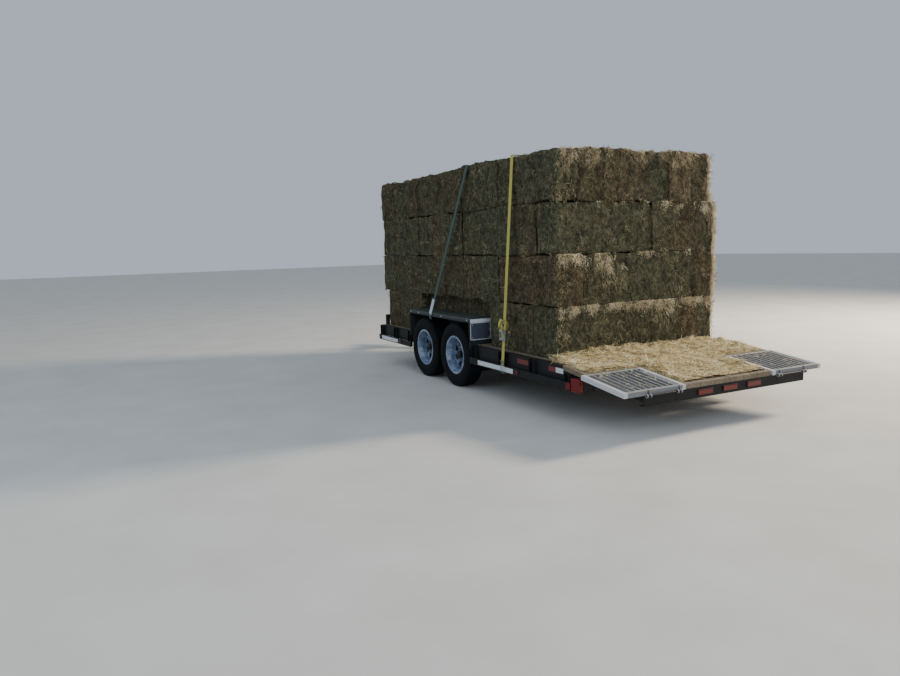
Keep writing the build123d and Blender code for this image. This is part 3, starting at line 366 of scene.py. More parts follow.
finishes = {   # the material's name, its look, and the look's own tones and levels
    "hay": ("baled hay", baledHay),
    "hayStems": ("dry hay stems", hayStem),
    "straw": ("bright straw", cutStraw, "#5f4b2b", "#efd79a", "#fff7d4"),
    "strawMat": ("trodden straw", troddenStraw),
    "paleFringe": ("bleached hay fringe", cutStraw, "#6b5c42", "#b3a07a", "#ecdcb6"),
    "blackPaint": ("black chassis enamel", enamelPaint, "#0b0c0f", "#2f2d29", "#3c352f"),
    "fenderPaint": ("dusty fender enamel", enamelPaint, "#171d22", "#555d58", "#6b665c", 0.45, 0.9),
    # painted light: the ramp's slats are a darker grey for the shade seen through them, its rails a pale grey for
    # their sunlit edge
    "rampPaint": ("worn ramp paint", enamelPaint, "#6f7177", "#aaa69d", "#4d4239", 0.55, 0.6, "#c9cacd"),
    "springPaint": ("spring steel", enamelPaint, "#2b2420", "#5a4636", "#6b4a33", 0.6),
    "castPaint": ("cast hub enamel", enamelPaint, "#131315", "#4d463b", "#5a4636", 0.45),
    "boards": ("weathered pine", weatheredPine),
    "rubber": ("moulded tyre rubber", tyreRubber),
    "enamel": ("white wheel enamel", wheelEnamel),
    "zinc": ("zinc plate", zincPlate, "#6d6f70", "#a3a5a4"),
    "brightZinc": ("fresh zinc plate", zincPlate, "#9aa0a4", "#d6dadb", 0.5),
    "dullZinc": ("weathered zinc plate", zincPlate, "#5b5953", "#8b8880", 0.6),
    "lens": ("red acrylic lens", acrylicLens),
    "tape": ("reflective tape", reflectiveTape),
    "yellow": ("yellow polyester webbing", wovenWebbing, "#c9bd4a", "#7d7430"),
    "green": ("green polyester webbing", wovenWebbing, "#1d4a37", "#10291f"),
    "plate": ("blank plate enamel", enamelPaint, "#353d50", "#7d838f", "#5a5a5a", 0.4),
    # the fender trim's near-white is a painted highlight of a lit edge
    "pale": ("worn edge enamel", enamelPaint, "#e2e9ef", "#c9c6b8", "#5b544c", 0.45),
    "whitePaint": ("white frame enamel", enamelPaint, "#d4dae4", "#8f8b80", "#6b6055", 0.45),
    "plastic": ("black moulded plastic", enamelPaint, "#141518", "#4a463f", "#2a2a2c", 0.5),
}
materials = {key: newMaterial(*finish) for key, finish in finishes.items()}
nodeFinish = {   # by the start of a node's name; the rest of the frame is black
    "deck_boards": "boards", "dovetail_boards": "boards", "fender": "fenderPaint", "ramp_left": "rampPaint",
    "ramp_right": "rampPaint", "leaf_springs": "springPaint", "hub": "castPaint", "rim": "enamel",
    "tyre": "rubber", "mudflaps": "rubber", "coupler": "castPaint", "safety_chains": "dullZinc",
    "jack_leg": "zinc", "strap_ratchet": "brightZinc", "tail_lights": "lens", "marker_lights": "lens",
    "reflective_tape": "tape", "yellow_strap": "yellow", "green_strap": "green", "sign_plates": "plate",
    "hay_layer": "hay", "loose_hay": "straw"}
for nodeName, node in nodes.items():
    starts = [key for key in nodeFinish if nodeName.startswith(key)]
    node.data.materials.clear()
    node.data.materials.append(materials[nodeFinish[starts[0]] if starts else "blackPaint"])
print("stage: materials")


# Hay bales: rounded blocks with ruffled outer faces, and only what can be seen of each is built

hay = {"cell": 0.028, "edgeRound": 0.012, "cornerRound": 0.065, "topRound": 0.05, "swell": 0.012, "lip": 0.07,
       "overhangLip": 0.22, "probe": 0.012, "stand": 0.010, "coreInset": 0.06, "coreSide": 0.16}
hayLip = {"rear": 1.90, "front": 2.10, "low": 0.722}
hayWaves = ((0.32, 0.015, 0.7), (0.10, 0.010, 0.5), (0.032, 0.008, 0.35))   # spacing, reach, squash upward
strapPaths = ((-1.59, -1.59, 0.41), (-0.60, 0.17, 0.875))   # y at the top, y at the foot, height of the foot
strapPress = {"half": 0.075, "sink": 0.010}
layerTop = {k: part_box("hay_layer_%d" % k)[1].z for k in range(1, 5)}
rearTints = {   # of the rear bales, from the left: 0 is olive green and 1 is reddish brown
    1: (0.22, 0.12, 0.85, 0.25), 2: (0.85, 0.35, 0.1, 0.75), 3: (0.12, 0.25, 0.8, 0.2),
    4: (0.25, 0.65, 0.8, 0.05, 0.85, 0.7)}


def clamped(value):
    return min(1.0, max(0.0, value))


def strapWeight(point):
    # 1 under the middle of a strap, 0 away from both
    heaviest = 0.0
    for topY, footY, footZ in strapPaths:
        share = clamped((layerTop[4] - point.z) / (layerTop[4] - footZ))
        away = abs(point.y - topY - (footY - topY) * share)
        heaviest = max(heaviest, 1 - away / strapPress["half"])
    return heaviest


def surfacePoint(point, bale):
    # a point of the plain block, moved onto the rounded and ruffled bale
    low, high = bale["low"], bale["high"]
    r = bale["round"] if point.z > (low.z + high.z) / 2 else bale["footRound"]
    inner = Vector([min(max(point[i], low[i] + r[i]), high[i] - r[i]) for i in range(3)])
    away = Vector([(point[i] - inner[i]) / r[i] for i in range(3)])
    if away.length > 1:
        away.normalize()
    outward = Vector([away[i] / r[i] for i in range(3)]).normalized() if away.length > 0 else Vector((0, 0, 1))
    push = Vector((0, 0, 0))
    for spacing, reach, squash in hayWaves:
        spot = Vector((point.x, point.y, point.z * squash)) / spacing
        push += noise.noise_vector(spot + bale["shift"]) * reach * bale["ruffle"]
    push += outward * bale["stand"]
    pressed = strapWeight(point)
    if pressed > 0:
        push = push * (1 - pressed) - outward * strapPress["sink"] * pressed
    return inner + Vector([away[i] * r[i] for i in range(3)]) + push


def openSides(low, high, blocks, layer):
    # outer faces of one bale, as (axis, sign): a face is open where a probe just off it meets no other bale
    found = []
    for axis, sign in ((0, -1), (0, 1), (1, -1), (1, 1)):
        for share in (0.06, 0.5, 0.94):
            probe = (low + high) / 2
            probe[axis] = (high if sign > 0 else low)[axis] + sign * hay["probe"]
            probe[1 - axis] = low[1 - axis] + share * (high[1 - axis] - low[1 - axis])
            if not any(all(a[i] < probe[i] < b[i] for i in range(3)) for a, b in blocks):
                found.append((axis, sign))
                break
    return found + ([(2, 1)] if layer == 4 else [])


def axisCuts(low, high, r, fine):
    count = max(1, round((high - low - 2 * r) / hay["cell"])) if fine else 1
    middle = [low + r + (high - low - 2 * r) * k / count for k in range(count + 1)]
    return [low, low + r / 2] + middle + [high - r / 2, high]


def baleFaces(bale, points, faces):
    # a grid on each open face, and a lip of it on the faces round the corner
    low, high, outer = bale["low"], bale["high"], bale["open"]
    cuts = [axisCuts(low[a], high[a], bale["round"][a], any(b != a for b, sign in outer)) for a in range(3)]
    known = {}
    for axis, sign in product(range(3), (-1, 1)):
        u, v = [i for i in range(3) if i != axis]
        plane = 0 if sign < 0 else len(cuts[axis]) - 1
        reach = hay["overhangLip"] if axis == 2 else hay["lip"]
        for i, j in product(range(len(cuts[u]) - 1), range(len(cuts[v]) - 1)):
            centre = {u: (cuts[u][i] + cuts[u][i + 1]) / 2, v: (cuts[v][j] + cuts[v][j + 1]) / 2}
            near = any(b != axis and abs(centre[b] - (high if s > 0 else low)[b]) < reach for b, s in outer)
            if (axis, sign) not in outer and not near:
                continue
            corners = []
            for a, b in ((i, j), (i + 1, j), (i + 1, j + 1), (i, j + 1)):
                place = {axis: plane, u: a, v: b}
                key = (place[0], place[1], place[2])
                if key not in known:
                    known[key] = len(points)
                    points.append(tuple(surfacePoint(Vector([cuts[n][key[n]] for n in range(3)]), bale)))
                corners.append(known[key])
            faces.append(corners[::-1] if (sign > 0) == (axis == 1) else corners)


def closeSeams(bale):
    # sides against another bale swell to meet it
    for sign, end in ((-1, "low"), (1, "high")):
        bale[end] = bale[end].copy()
        for axis in (0, 1):
            if (axis, sign) not in bale["open"]:
                bale[end][axis] += sign * hay["swell"]


def coreFaces(blocks, points, faces):
    # a plain dark block behind the seams
    low = [min(b[0][i] for b in blocks) + hay["coreInset"] for i in range(3)]
    high = [max(b[1][i] for b in blocks) - hay["coreInset"] for i in range(3)]
    low[0], high[0] = low[0] + hay["coreSide"], high[0] - hay["coreSide"]
    start = len(points)
    points += list(product(*zip(low, high)))
    for corners in ((0, 1, 3, 2), (4, 6, 7, 5), (0, 4, 5, 1), (2, 3, 7, 6), (0, 2, 6, 4), (1, 5, 7, 3)):
        faces.append([start + k for k in corners])


def baleLayer(layer):
    nodeName = "hay_layer_%d" % layer
    blocks = cadBlocks(nodeName)
    rearmost = min(low.y for low, high in blocks) + 0.05
    rear = sorted([i for i, (low, high) in enumerate(blocks) if low.y < rearmost], key=lambda i: blocks[i][0].x)
    if layer == 1:   # loose hay lying over the front rail, under the overhang of the next layer
        blocks.append((Vector((blocks[0][0].x, hayLip["rear"], hayLip["low"])),
                       Vector((-blocks[0][0].x, hayLip["front"], layerTop[1]))))
    points, faces, tints, bales = [], [], [], []
    for i, (low, high) in enumerate(blocks):
        tint = rearTints[layer][rear.index(i)] if i in rear else uniform(0.05, 0.7)
        r = hay["cornerRound"] if i in (rear[0], rear[-1]) else hay["edgeRound"]
        bale = {"low": low, "high": high, "open": openSides(low, high, blocks, layer), "tint": tint,
                "round": (r, r, hay["topRound"] if layer == 4 else hay["edgeRound"]),
                "footRound": (r, r, hay["edgeRound"]), "shift": Vector((layer * 7.3, 0, 0)),
                "stand": uniform(-hay["stand"], hay["stand"]), "ruffle": 1.5 if layer == 4 else 1.0}
        if bale["open"]:
            closeSeams(bale)
            baleFaces(bale, points, faces)
            bales.append(bale)
        tints += [tint] * (len(faces) - len(tints))
    coreFaces(blocks, points, faces)
    tints += [0.3] * (len(faces) - len(tints))
    piece = meshPiece("hayBales_%d" % layer, points, faces, materials["hay"], baleTint=tints)
    piece.data.polygons.foreach_set("use_smooth", [True] * len(faces))
    fitTo(piece, "trailer", "hay", nodeName)
    print("stage: hay layer", layer, "bales", len(bales), "faces", len(faces))
    return bales, [b for b in bales if b["low"].y < rearmost]


# Stems: each is its line, the way it faces, its width, its shade and its bale's tint

stemForm = {"wide": (0.0015, 0.0042), "taper": 0.7, "flushLength": (0.012, 0.045), "sprigLength": (0.015, 0.05),
            "past": 0.02, "curl": 0.6, "tuftStems": 15, "tuftSpread": 0.13}


def stemMesh(name, stems, material, slotName, body="trailer"):
    # thin ribbons that narrow towards their tips
    points, faces, shades, tints = [], [], [], []
    for line, facing, width, shade, tint in stems:
        side = (line[-1] - line[0]).cross(facing).normalized() * (width / 2)
        for k, spot in enumerate(line):
            share = 1.0 - stemForm["taper"] * k / (len(line) - 1)
            points += [tuple(spot - side * share), tuple(spot + side * share)]
            if k:
                a = len(points) - 4
                faces.append((a, a + 1, a + 3, a + 2))
        shades += [shade] * (len(line) - 1)
        tints += [tint] * (len(line) - 1)
    piece = meshPiece(name, points, faces, materials[material], stemShade=shades, baleTint=tints)
    fitTo(piece, body, slotName)
    print("stage:", name, len(stems))


def anyWay(reach):
    return Vector([uniform(-reach, reach) for n in range(3)])


def onFace(bale, side):
    # corners of the bale, the two axes along one of its faces, the way out of it, a place in it and its area
    axis, sign = side
    low, high = bale["low"], bale["high"]
    u, v = [i for i in range(3) if i != axis]
    outward, spot = Vector((0, 0, 0)), Vector((0, 0, 0))
    outward[axis], spot[axis] = sign, (high if sign > 0 else low)[axis]
    return low, high, u, v, outward, spot, (high[u] - low[u]) * (high[v] - low[v])


def flushStems(bale, side, density):
    # short cut stems pressed into one outer face
    low, high, u, v, outward, start, area = onFace(bale, side)
    stems = []
    for k in range(int(area * density)):
        start[u], start[v] = uniform(low[u], high[u]), uniform(low[v], high[v])
        angle = gauss(pi / 2, 1.1) if v == 2 else uniform(0, pi)
        length = uniform(*stemForm["flushLength"])
        end = start.copy()
        end[u], end[v] = start[u] + cos(angle) * length, start[v] + sin(angle) * length
        if max(low[u] - end[u], end[u] - high[u], low[v] - end[v], end[v] - high[v]) > stemForm["past"]:
            continue
        line = [surfacePoint(start, bale) + outward * uniform(-0.003, 0.003),
                surfacePoint(end, bale) + outward * uniform(0.0, 0.009)]
        if random.random() < 0.5:
            line.reverse()
        stems.append((line, outward + anyWay(0.5), uniform(*stemForm["wide"]),
                      betavariate(1.6, 2.8), bale["tint"]))
    return stems


def edgeStems(bale, side, perMetre):
    # sprigs standing out along the upper edge of one outer face
    low, high, other, v, outward, spot, area = onFace(bale, side)
    axis, sign = side
    stems = []
    for k in range(int((high[other] - low[other]) * perMetre)):
        spot.z = high.z - uniform(0.0, 0.05)
        spot[other] = uniform(low[other], high[other])
        run = anyWay(0.6)
        run[axis] = sign * uniform(0.1, 0.9)
        run.normalize()
        root = surfacePoint(spot, bale)
        length = uniform(*stemForm["sprigLength"])
        line = [root, root + run * length * 0.5, root + run * length + Vector((0, 0, -0.3 * length))]
        stems.append((line, anyWay(1), uniform(0.0015, 0.0035), betavariate(2, 2), bale["tint"]))
    return stems


def clumpStems(centre, outward, radius, count, droop, shade, tint=0.4, tall=0.7, highest=9.0):
    # one tuft of short curled stems round a place on an outer face
    along = Vector((1, 0, 0)) if abs(outward.z) > 0.5 else outward.cross(Vector((0, 0, 1)))
    upward = along.cross(outward)
    if upward.z < 0:
        upward.negate()
    stems = []
    for k in range(count):
        root = centre + along * gauss(0, radius) + upward * gauss(0, radius * tall)
        root += outward * uniform(-0.006, 0.012)
        root.z = min(root.z, highest)
        run = along * uniform(-1, 1) + outward * uniform(0.0, 0.7) + upward * uniform(-1, 0.8)
        run = (run + Vector((0, 0, -droop))).normalized()
        bend = (along * uniform(-1, 1) + outward * uniform(0, 0.4) + upward * uniform(-1, 1)) * stemForm["curl"]
        length = uniform(0.016, 0.050)
        line = [root, root + run * length * 0.45, root + run * length * 0.75 + bend * length * 0.35]
        if k % 3 == 0:
            line.append(line[-1] + (run + bend).normalized() * length * 0.3)
        facing = outward + along * uniform(-0.6, 0.6) + upward * uniform(-0.2, 0.8)
        tone = clamped(gauss(shade, stemForm["tuftSpread"]))
        stems.append((line, facing, uniform(0.0024, 0.0064), tone, tint))
    return stems


def faceTufts(bale, side, perArea):
    # ruffled tufts in the bale's own colour
    low, high, u, v, outward, spot, area = onFace(bale, side)
    stems = []
    for k in range(int(area * perArea + random.random())):
        spot[u], spot[v] = uniform(low[u], high[u]), uniform(low[v], high[v])
        tint = clamped(bale["tint"] + uniform(-0.3, 0.3))
        shade = clamped(gauss(0.43, 0.22))
        centre, radius = surfacePoint(spot, bale), uniform(0.012, 0.034)
        stems += clumpStems(centre, outward, radius, stemForm["tuftStems"], 0.4, shade, tint)
    return stems


random.seed(11)
noise.seed_set(11)   # its vectors follow the clock without this
balesOf, rearOf = {}, {}
for layer in range(1, 5):
    balesOf[layer], rearOf[layer] = baleLayer(layer)

sideNames = {(0, -1): "left", (0, 1): "right", (1, -1): "rear", (1, 1): "front", (2, 1): "top"}
cover = {"left": 1500, "right": 900, "rear": 2600, "top": 420, "front": 500, "edge": 240}
tuftsOn = {"left": 110, "right": 45, "rear": 190, "top": 25, "front": 25}
for layer, bales in balesOf.items():
    stems = []
    for bale in bales:
        for side in bale["open"]:
            stems += flushStems(bale, side, cover[sideNames[side]])
            stems += faceTufts(bale, side, tuftsOn[sideNames[side]])
            if side[0] < 2 and layer == 4:
                stems += edgeStems(bale, side, cover["edge"])
    stemMesh("hayStems_%d" % layer, stems, "hayStems", "hay")


# Bleached fringe, paler where the sun catches it as painted sunlight: curled clumps along the upper edges of the
# rear face and down its corners

fringe = {"spacing": 0.0105, "stems": 26, "clear": 0.05, "above": 0.006}   # clear of the left corner, raggedly
fringePatches = {   # share of the width from the left, weight, how far the clumps hang
    1: ((0.0, 0.14, 1.6, 0.10), (0.14, 0.60, 1.3, 0.07), (0.60, 0.74, 1.4, 0.12), (0.74, 1.0, 1.0, 0.06)),
    2: ((0.0, 0.22, 0.8, 0.09), (0.22, 0.46, 1.0, 0.14), (0.46, 1.0, 0.10, 0.03)),
    3: ((0.0, 0.84, 0.10, 0.03), (0.84, 1.0, 1.0, 0.10)),
    4: ((0.0, 0.18, 1.3, 0.17), (0.18, 0.36, 1.0, 0.14), (0.36, 0.56, 0.5, 0.08), (0.56, 1.0, 0.9, 0.11))}
cornerBands = (   # share of the width, lowest and highest place, weight
    (0.975, 1.10, 1.62, 3.2), (0.975, 1.62, 2.13, 3.0), (0.98, 2.14, 2.62, 2.6), (0.985, 0.66, 1.06, 0.9),
    (0.035, 0.72, 1.06, 0.6), (0.045, 2.16, 2.64, 0.6), (0.035, 1.30, 1.58, 0.35))
looseTufts = (   # share of the width, height, tufts, spread
    (0.06, 2.46, 3, 0.05), (0.13, 2.32, 4, 0.06), (0.03, 2.2, 3, 0.04), (0.20, 2.58, 3, 0.05),
    (0.94, 2.03, 5, 0.05), (0.97, 1.93, 3, 0.04), (0.62, 0.98, 5, 0.06), (0.68, 0.90, 3, 0.05),
    (0.36, 0.66, 3, 0.04), (0.75, 1.20, 2, 0.03), (0.30, 1.40, 3, 0.06), (0.36, 1.31, 3, 0.05))
rearward = Vector((0, -1, 0))


def rearPoint(bales, x, z):
    for bale in bales:
        if bale["low"].x <= x <= bale["high"].x:
            return surfacePoint(Vector((x, bale["low"].y, z)), bale)
    return Vector((x, bales[0]["low"].y, z))


def fringeStems(layer):
    bales = sorted(rearOf[layer], key=lambda b: b["low"].x)
    left, right, top = bales[0]["low"].x, bales[-1]["high"].x, bales[0]["high"].z
    stems = []

    def wave(along, up):
        return noise.noise(Vector((along, layer * 5.3, up)))

    for first, last, weight, hang in fringePatches[layer]:
        start, end = left + first * (right - left), left + last * (right - left)
        for k in range(int((end - start) / fringe["spacing"] * weight)):
            x = uniform(start + 0.01, end - 0.01)
            if random.random() > 0.75 + wave(x * 11, 0.4) * 1.4:
                continue
            z = top + 0.008 - uniform(0.0, hang * (0.6 + 1.3 * abs(wave(x * 5, 0.4))))
            if x - left < fringe["clear"] * (1 + 1.6 * wave(3.1, z * 9)):
                continue
            radius = uniform(0.012, 0.030)
            # the ledges of the lower layers get paler shades than the top layer's, partly painted sunlight on the
            # edges that catch it
            shade = uniform(0.3, 1.0) if layer < 4 else uniform(0.05, 0.75)
            centre, droop = rearPoint(bales, x, z), uniform(0.2, 1.6)
            stems += clumpStems(centre, rearward, radius, fringe["stems"], droop, shade,
                                tall=1.3, highest=top + fringe["above"])
    return stems


def cornerStems():
    # bleached stems down the upright corners of the rear face, given painted sunlight on the right corner and
    # painted shade on the left
    stems = []
    for share, lowest, highest, weight in cornerBands:
        bales = rearOf[min(k for k in layerTop if layerTop[k] > (lowest + highest) / 2)]
        left, right = min(b["low"].x for b in bales), max(b["high"].x for b in bales)
        # painted sunlight and shade: stems on the right corner, which faces the light, get pale shades, those on
        # the left corner dark ones
        spread, shades, radius = (0.008, (0.4, 1.0), 0.012) if share > 0.5 else (0.03, (0.1, 0.6), 0.02)
        for k in range(int((highest - lowest) / 0.015 * weight)):
            x = left + share * (right - left) + gauss(0, spread)
            centre = rearPoint(bales, x, uniform(lowest, highest))
            stems += clumpStems(centre, rearward, radius, 12, 1.0, uniform(*shades),
                                tall=1.5, highest=layerTop[4] + fringe["above"])
    return stems


def tuftStems():
    stems = []
    left, right = [corner.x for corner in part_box("hay_layer_1")]
    for share, height, count, spread in looseTufts:
        bales = rearOf[min(k for k in layerTop if layerTop[k] > height)]
        for k in range(count):
            x = left + share * (right - left) + gauss(0, spread)
            centre = rearPoint(bales, min(max(x, left + 0.02), right - 0.02), height + gauss(0, spread))
            radius, shade = uniform(0.016, 0.034), uniform(0.2, 0.6)
            stems += clumpStems(centre, rearward, radius, 34, 1.8, shade,
                                tall=2.0, highest=layerTop[4] + fringe["above"])
    return stems


paleStems = [s for layer in (1, 2, 3, 4) for s in fringeStems(layer)] + cornerStems() + tuftStems()
stemMesh("paleFringe", paleStems, "paleFringe", "straw")


# Loose straw on the dovetail: a thin ragged mat over the boards, and stems scattered on it and beyond it

straw = {"cell": 0.02, "half": 1.20, "rear": -3.47, "front": -2.335, "matHalf": 0.555, "bankHeight": 0.060,
         "bankLength": 0.25, "thin": 0.016, "slopeStart": -2.60, "deckTop": 0.56, "slope": 0.125,
         "rampFront": -2.96, "rampInner": 0.575, "edge": 0.05, "stems": 26000, "length": (0.02, 0.085)}


def boardTop(y):
    return straw["deckTop"] - max(0.0, straw["slopeStart"] - y) * straw["slope"]


def onRamp(x, y):
    return y < straw["rampFront"] and abs(x) > straw["rampInner"]


def ripple(x, y, scale, level):
    return noise.noise(Vector((x * scale, y * scale, level)))


def strawDepth(x, y):
    # thickness of the mat, below zero where the boards show through
    onDeck = max(0.0, 1 - (straw["front"] - y) / straw["bankLength"])
    wide = straw["half"] if y > straw["rampFront"] + straw["edge"] else straw["matHalf"]
    edge = min(1.0, (wide - abs(x)) / straw["edge"])
    patch = ripple(x, y, 3.1, 7.7) * 0.9 + ripple(x, y, 9, 1.3) * 0.5
    body = straw["thin"] * (1.0 + 1.2 * patch) * edge - (1 - edge) * 0.012
    return body + straw["bankHeight"] * onDeck * onDeck * (0.8 + 0.5 * patch) + 0.006 * ripple(x, y, 38, 4.1)


def strawMatPiece():
    across = round(2 * straw["half"] / straw["cell"])
    along = round((straw["front"] - straw["rear"]) / straw["cell"])
    points, faces, known = [], [], {}
    for i, j in product(range(across), range(along)):
        corners = []
        for a, b in ((i, j), (i + 1, j), (i + 1, j + 1), (i, j + 1)):
            x, y = a * straw["cell"] - straw["half"], straw["rear"] + b * straw["cell"]
            corners.append(((a, b), x, y, strawDepth(x, y)))
        if max(c[3] for c in corners) < 0.001 or onRamp(max(abs(c[1]) for c in corners), corners[2][2]):
            continue
        for key, x, y, depth in corners:
            if key not in known:
                known[key] = len(points)
                points.append((x, y, boardTop(y) + max(depth, -0.004)))
        faces.append([known[c[0]] for c in corners])
    fitTo(meshPiece("strawMat", points, faces, materials["strawMat"]), "trailer", "straw", "loose_hay")
    print("stage: straw mat faces", len(faces))


def strawStems():
    stems = []
    for k in range(straw["stems"]):
        x, y = uniform(-straw["half"], straw["half"]), uniform(straw["rear"], straw["front"])
        depth = strawDepth(x, y)
        onSlats = 0.10 if y > straw["rampFront"] - 0.12 else 0.03
        if random.random() > (onSlats if onRamp(x, y) else 0.25 + depth * 70):
            continue
        root = Vector((x, y, boardTop(y) + max(depth, 0.0) + uniform(0.0, 0.010)))
        run = Vector((uniform(-1, 1), uniform(-1, 1), uniform(-0.10, 0.22))).normalized()
        line = [root, root + run * uniform(*straw["length"])]
        facing = Vector((uniform(-0.7, 0.7), uniform(-0.7, 0.7), 1))
        patch = 0.7 * ripple(x, y, 14, 2.2) + 0.8 * ripple(x, y, 38, 5.1)
        shade = clamped(betavariate(2.2, 1.4) + 1.1 * patch)
        stems.append((line, facing, uniform(0.002, 0.005), shade, 0.5))
    return stems


random.seed(23)
strawMatPiece()
strawOn = {"trailer": [], "ramp_left": [], "ramp_right": []}   # the straw lying on a ramp swings with it
for lying in strawStems():
    x, y, z = lying[0][0]
    strawOn[("ramp_left" if x < 0 else "ramp_right") if onRamp(x, y) else "trailer"].append(lying)
for body, name in (("trailer", "Dovetail"), ("ramp_left", "RampLeft"), ("ramp_right", "RampRight")):
    stemMesh("strawOn" + name, strawOn[body], "straw", "straw", body)


# Small parts: each is a primitive, eased at its edges, and all of a piece are joined

eased = {"most": 0.0012, "share": 0.12, "angle": radians(50), "smooth": radians(35)}


def modified(piece, kind, **settings):
    makeActive(piece)
    bpy.ops.object.modifier_add(type=kind)
    for name, value in settings.items():
        setattr(piece.modifiers[0], name, value)
    bpy.ops.object.modifier_apply(modifier=piece.modifiers[0].name)


class Gather:
    def __init__(self):
        self.parts, self.known = [], {}

    def add(self, key, place, turn):
        # what repeats is modelled once and copied, each copy with its own mesh
        if key in self.known:
            part = copyOf(self.known[key])
        else:
            sides, a, b, c = key
            deselectAll()
            if sides == 4:
                bpy.ops.mesh.primitive_cube_add(size=1, calc_uvs=False, scale=(a, b, c))
                bpy.ops.object.transform_apply(location=False, rotation=False, scale=True)
            else:
                bpy.ops.mesh.primitive_cone_add(vertices=sides, radius1=a, radius2=b, depth=c, calc_uvs=False)
            part = self.known[key] = bpy.context.object
            width = min(eased["most"], eased["share"] * min(a, b, c))
            modified(part, "BEVEL", width=width, angle_limit=eased["angle"])
        part.location = place
        part.rotation_euler = turn
        self.parts.append(part)

    def box(self, low, high):
        # between two opposite corners, in either order
        size = [round(abs(b - a), 5) for a, b in zip(low, high)]
        self.add((4, *size), [(a + b) / 2 for a, b in zip(low, high)], (0, 0, 0))

    def bar(self, a, b, radius, sides=10, tip=None):
        # a round or many-sided bar from a to b, its far end of another radius where tip is given
        run = Vector(b) - Vector(a)
        key = (sides, radius, radius if tip is None else tip, round(run.length, 5))
        self.add(key, (Vector(a) + Vector(b)) / 2, run.to_track_quat("Z", "Y").to_euler())

    def path(self, spots, radius):
        # a bent rod: a curve with a round section, made a mesh
        curve = bpy.data.curves.new("rod", "CURVE")
        curve.dimensions = "3D"
        curve.bevel_depth, curve.bevel_resolution, curve.use_fill_caps = radius, 1, True
        spline = curve.splines.new("POLY")
        spline.points.add(len(spots) - 1)
        for point, spot in zip(spline.points, spots):
            point.co = (*spot, 1)
        makeActive(linked(bpy.data.objects.new("rod", curve)))
        bpy.ops.object.convert(target="MESH")
        self.parts.append(bpy.context.object)

    def strip(self, spots, across, width, thick):
        # a flat strip of webbing along a line of places, its width lying along across
        half = Vector(across).normalized() * (width / 2)
        points = [tuple(Vector(spot) + half * s) for spot in spots for s in (-1, 1)]
        faces = [(2 * i, 2 * i + 1, 2 * i + 3, 2 * i + 2) for i in range(len(spots) - 1)]
        webbing = meshPiece("webbing", points, faces, materials["yellow"])
        modified(webbing, "SOLIDIFY", thickness=thick, offset=0)
        self.parts.append(webbing)

    def joined(self, name, material):
        deselectAll()
        for part in self.parts:
            part.select_set(True)
        made = bpy.context.view_layer.objects.active = self.parts[0]
        if len(self.parts) > 1:
            bpy.ops.object.join()
        bpy.ops.object.transform_apply(location=True, rotation=True, scale=True)
        made.name = made.data.name = name
        made.data.materials.clear()
        made.data.materials.append(materials[material])
        bpy.ops.object.mode_set(mode="EDIT")
        bpy.ops.mesh.select_all(action="SELECT")
        bpy.ops.mesh.normals_make_consistent(inside=False)
        bpy.ops.object.mode_set(mode="OBJECT")
        bpy.ops.object.shade_smooth_by_angle(angle=eased["smooth"])
        return made

    def piece(self, name, material, slotName, body="trailer"):
        fitTo(self.joined(name, material), body, slotName)


# Tyres: a carcass spun from its section, with ribbed tread blocks, modelled once and copied to each wheel

tyreCut = {"turns": 72, "treadBase": 0.3855, "treadTop": 0.3922, "blocks": 60, "gap": 0.22, "skew": 0.35,
           "shoulderDrop": 0.0025, "sunk": 0.004}
tyreRibs = ((-0.086, -0.056), (-0.050, -0.020), (-0.014, 0.014), (0.020, 0.050), (0.056, 0.086))
tyreSection = (   # offset from the middle, radius: bead, side wall with two raised rings, shoulder, tread base
    (0.0875, 0.2224), (0.0885, 0.2400), (0.0960, 0.2460), (0.1045, 0.2620), (0.1095, 0.2800), (0.1118, 0.2960),
    (0.1123, 0.2990), (0.1110, 0.3010), (0.1116, 0.3200), (0.1122, 0.3240), (0.1105, 0.3270), (0.1090, 0.3420),
    (0.1060, 0.3560), (0.1000, 0.3700), (0.0935, 0.3790), (0.0860, 0.3850), (0.0560, 0.3855))


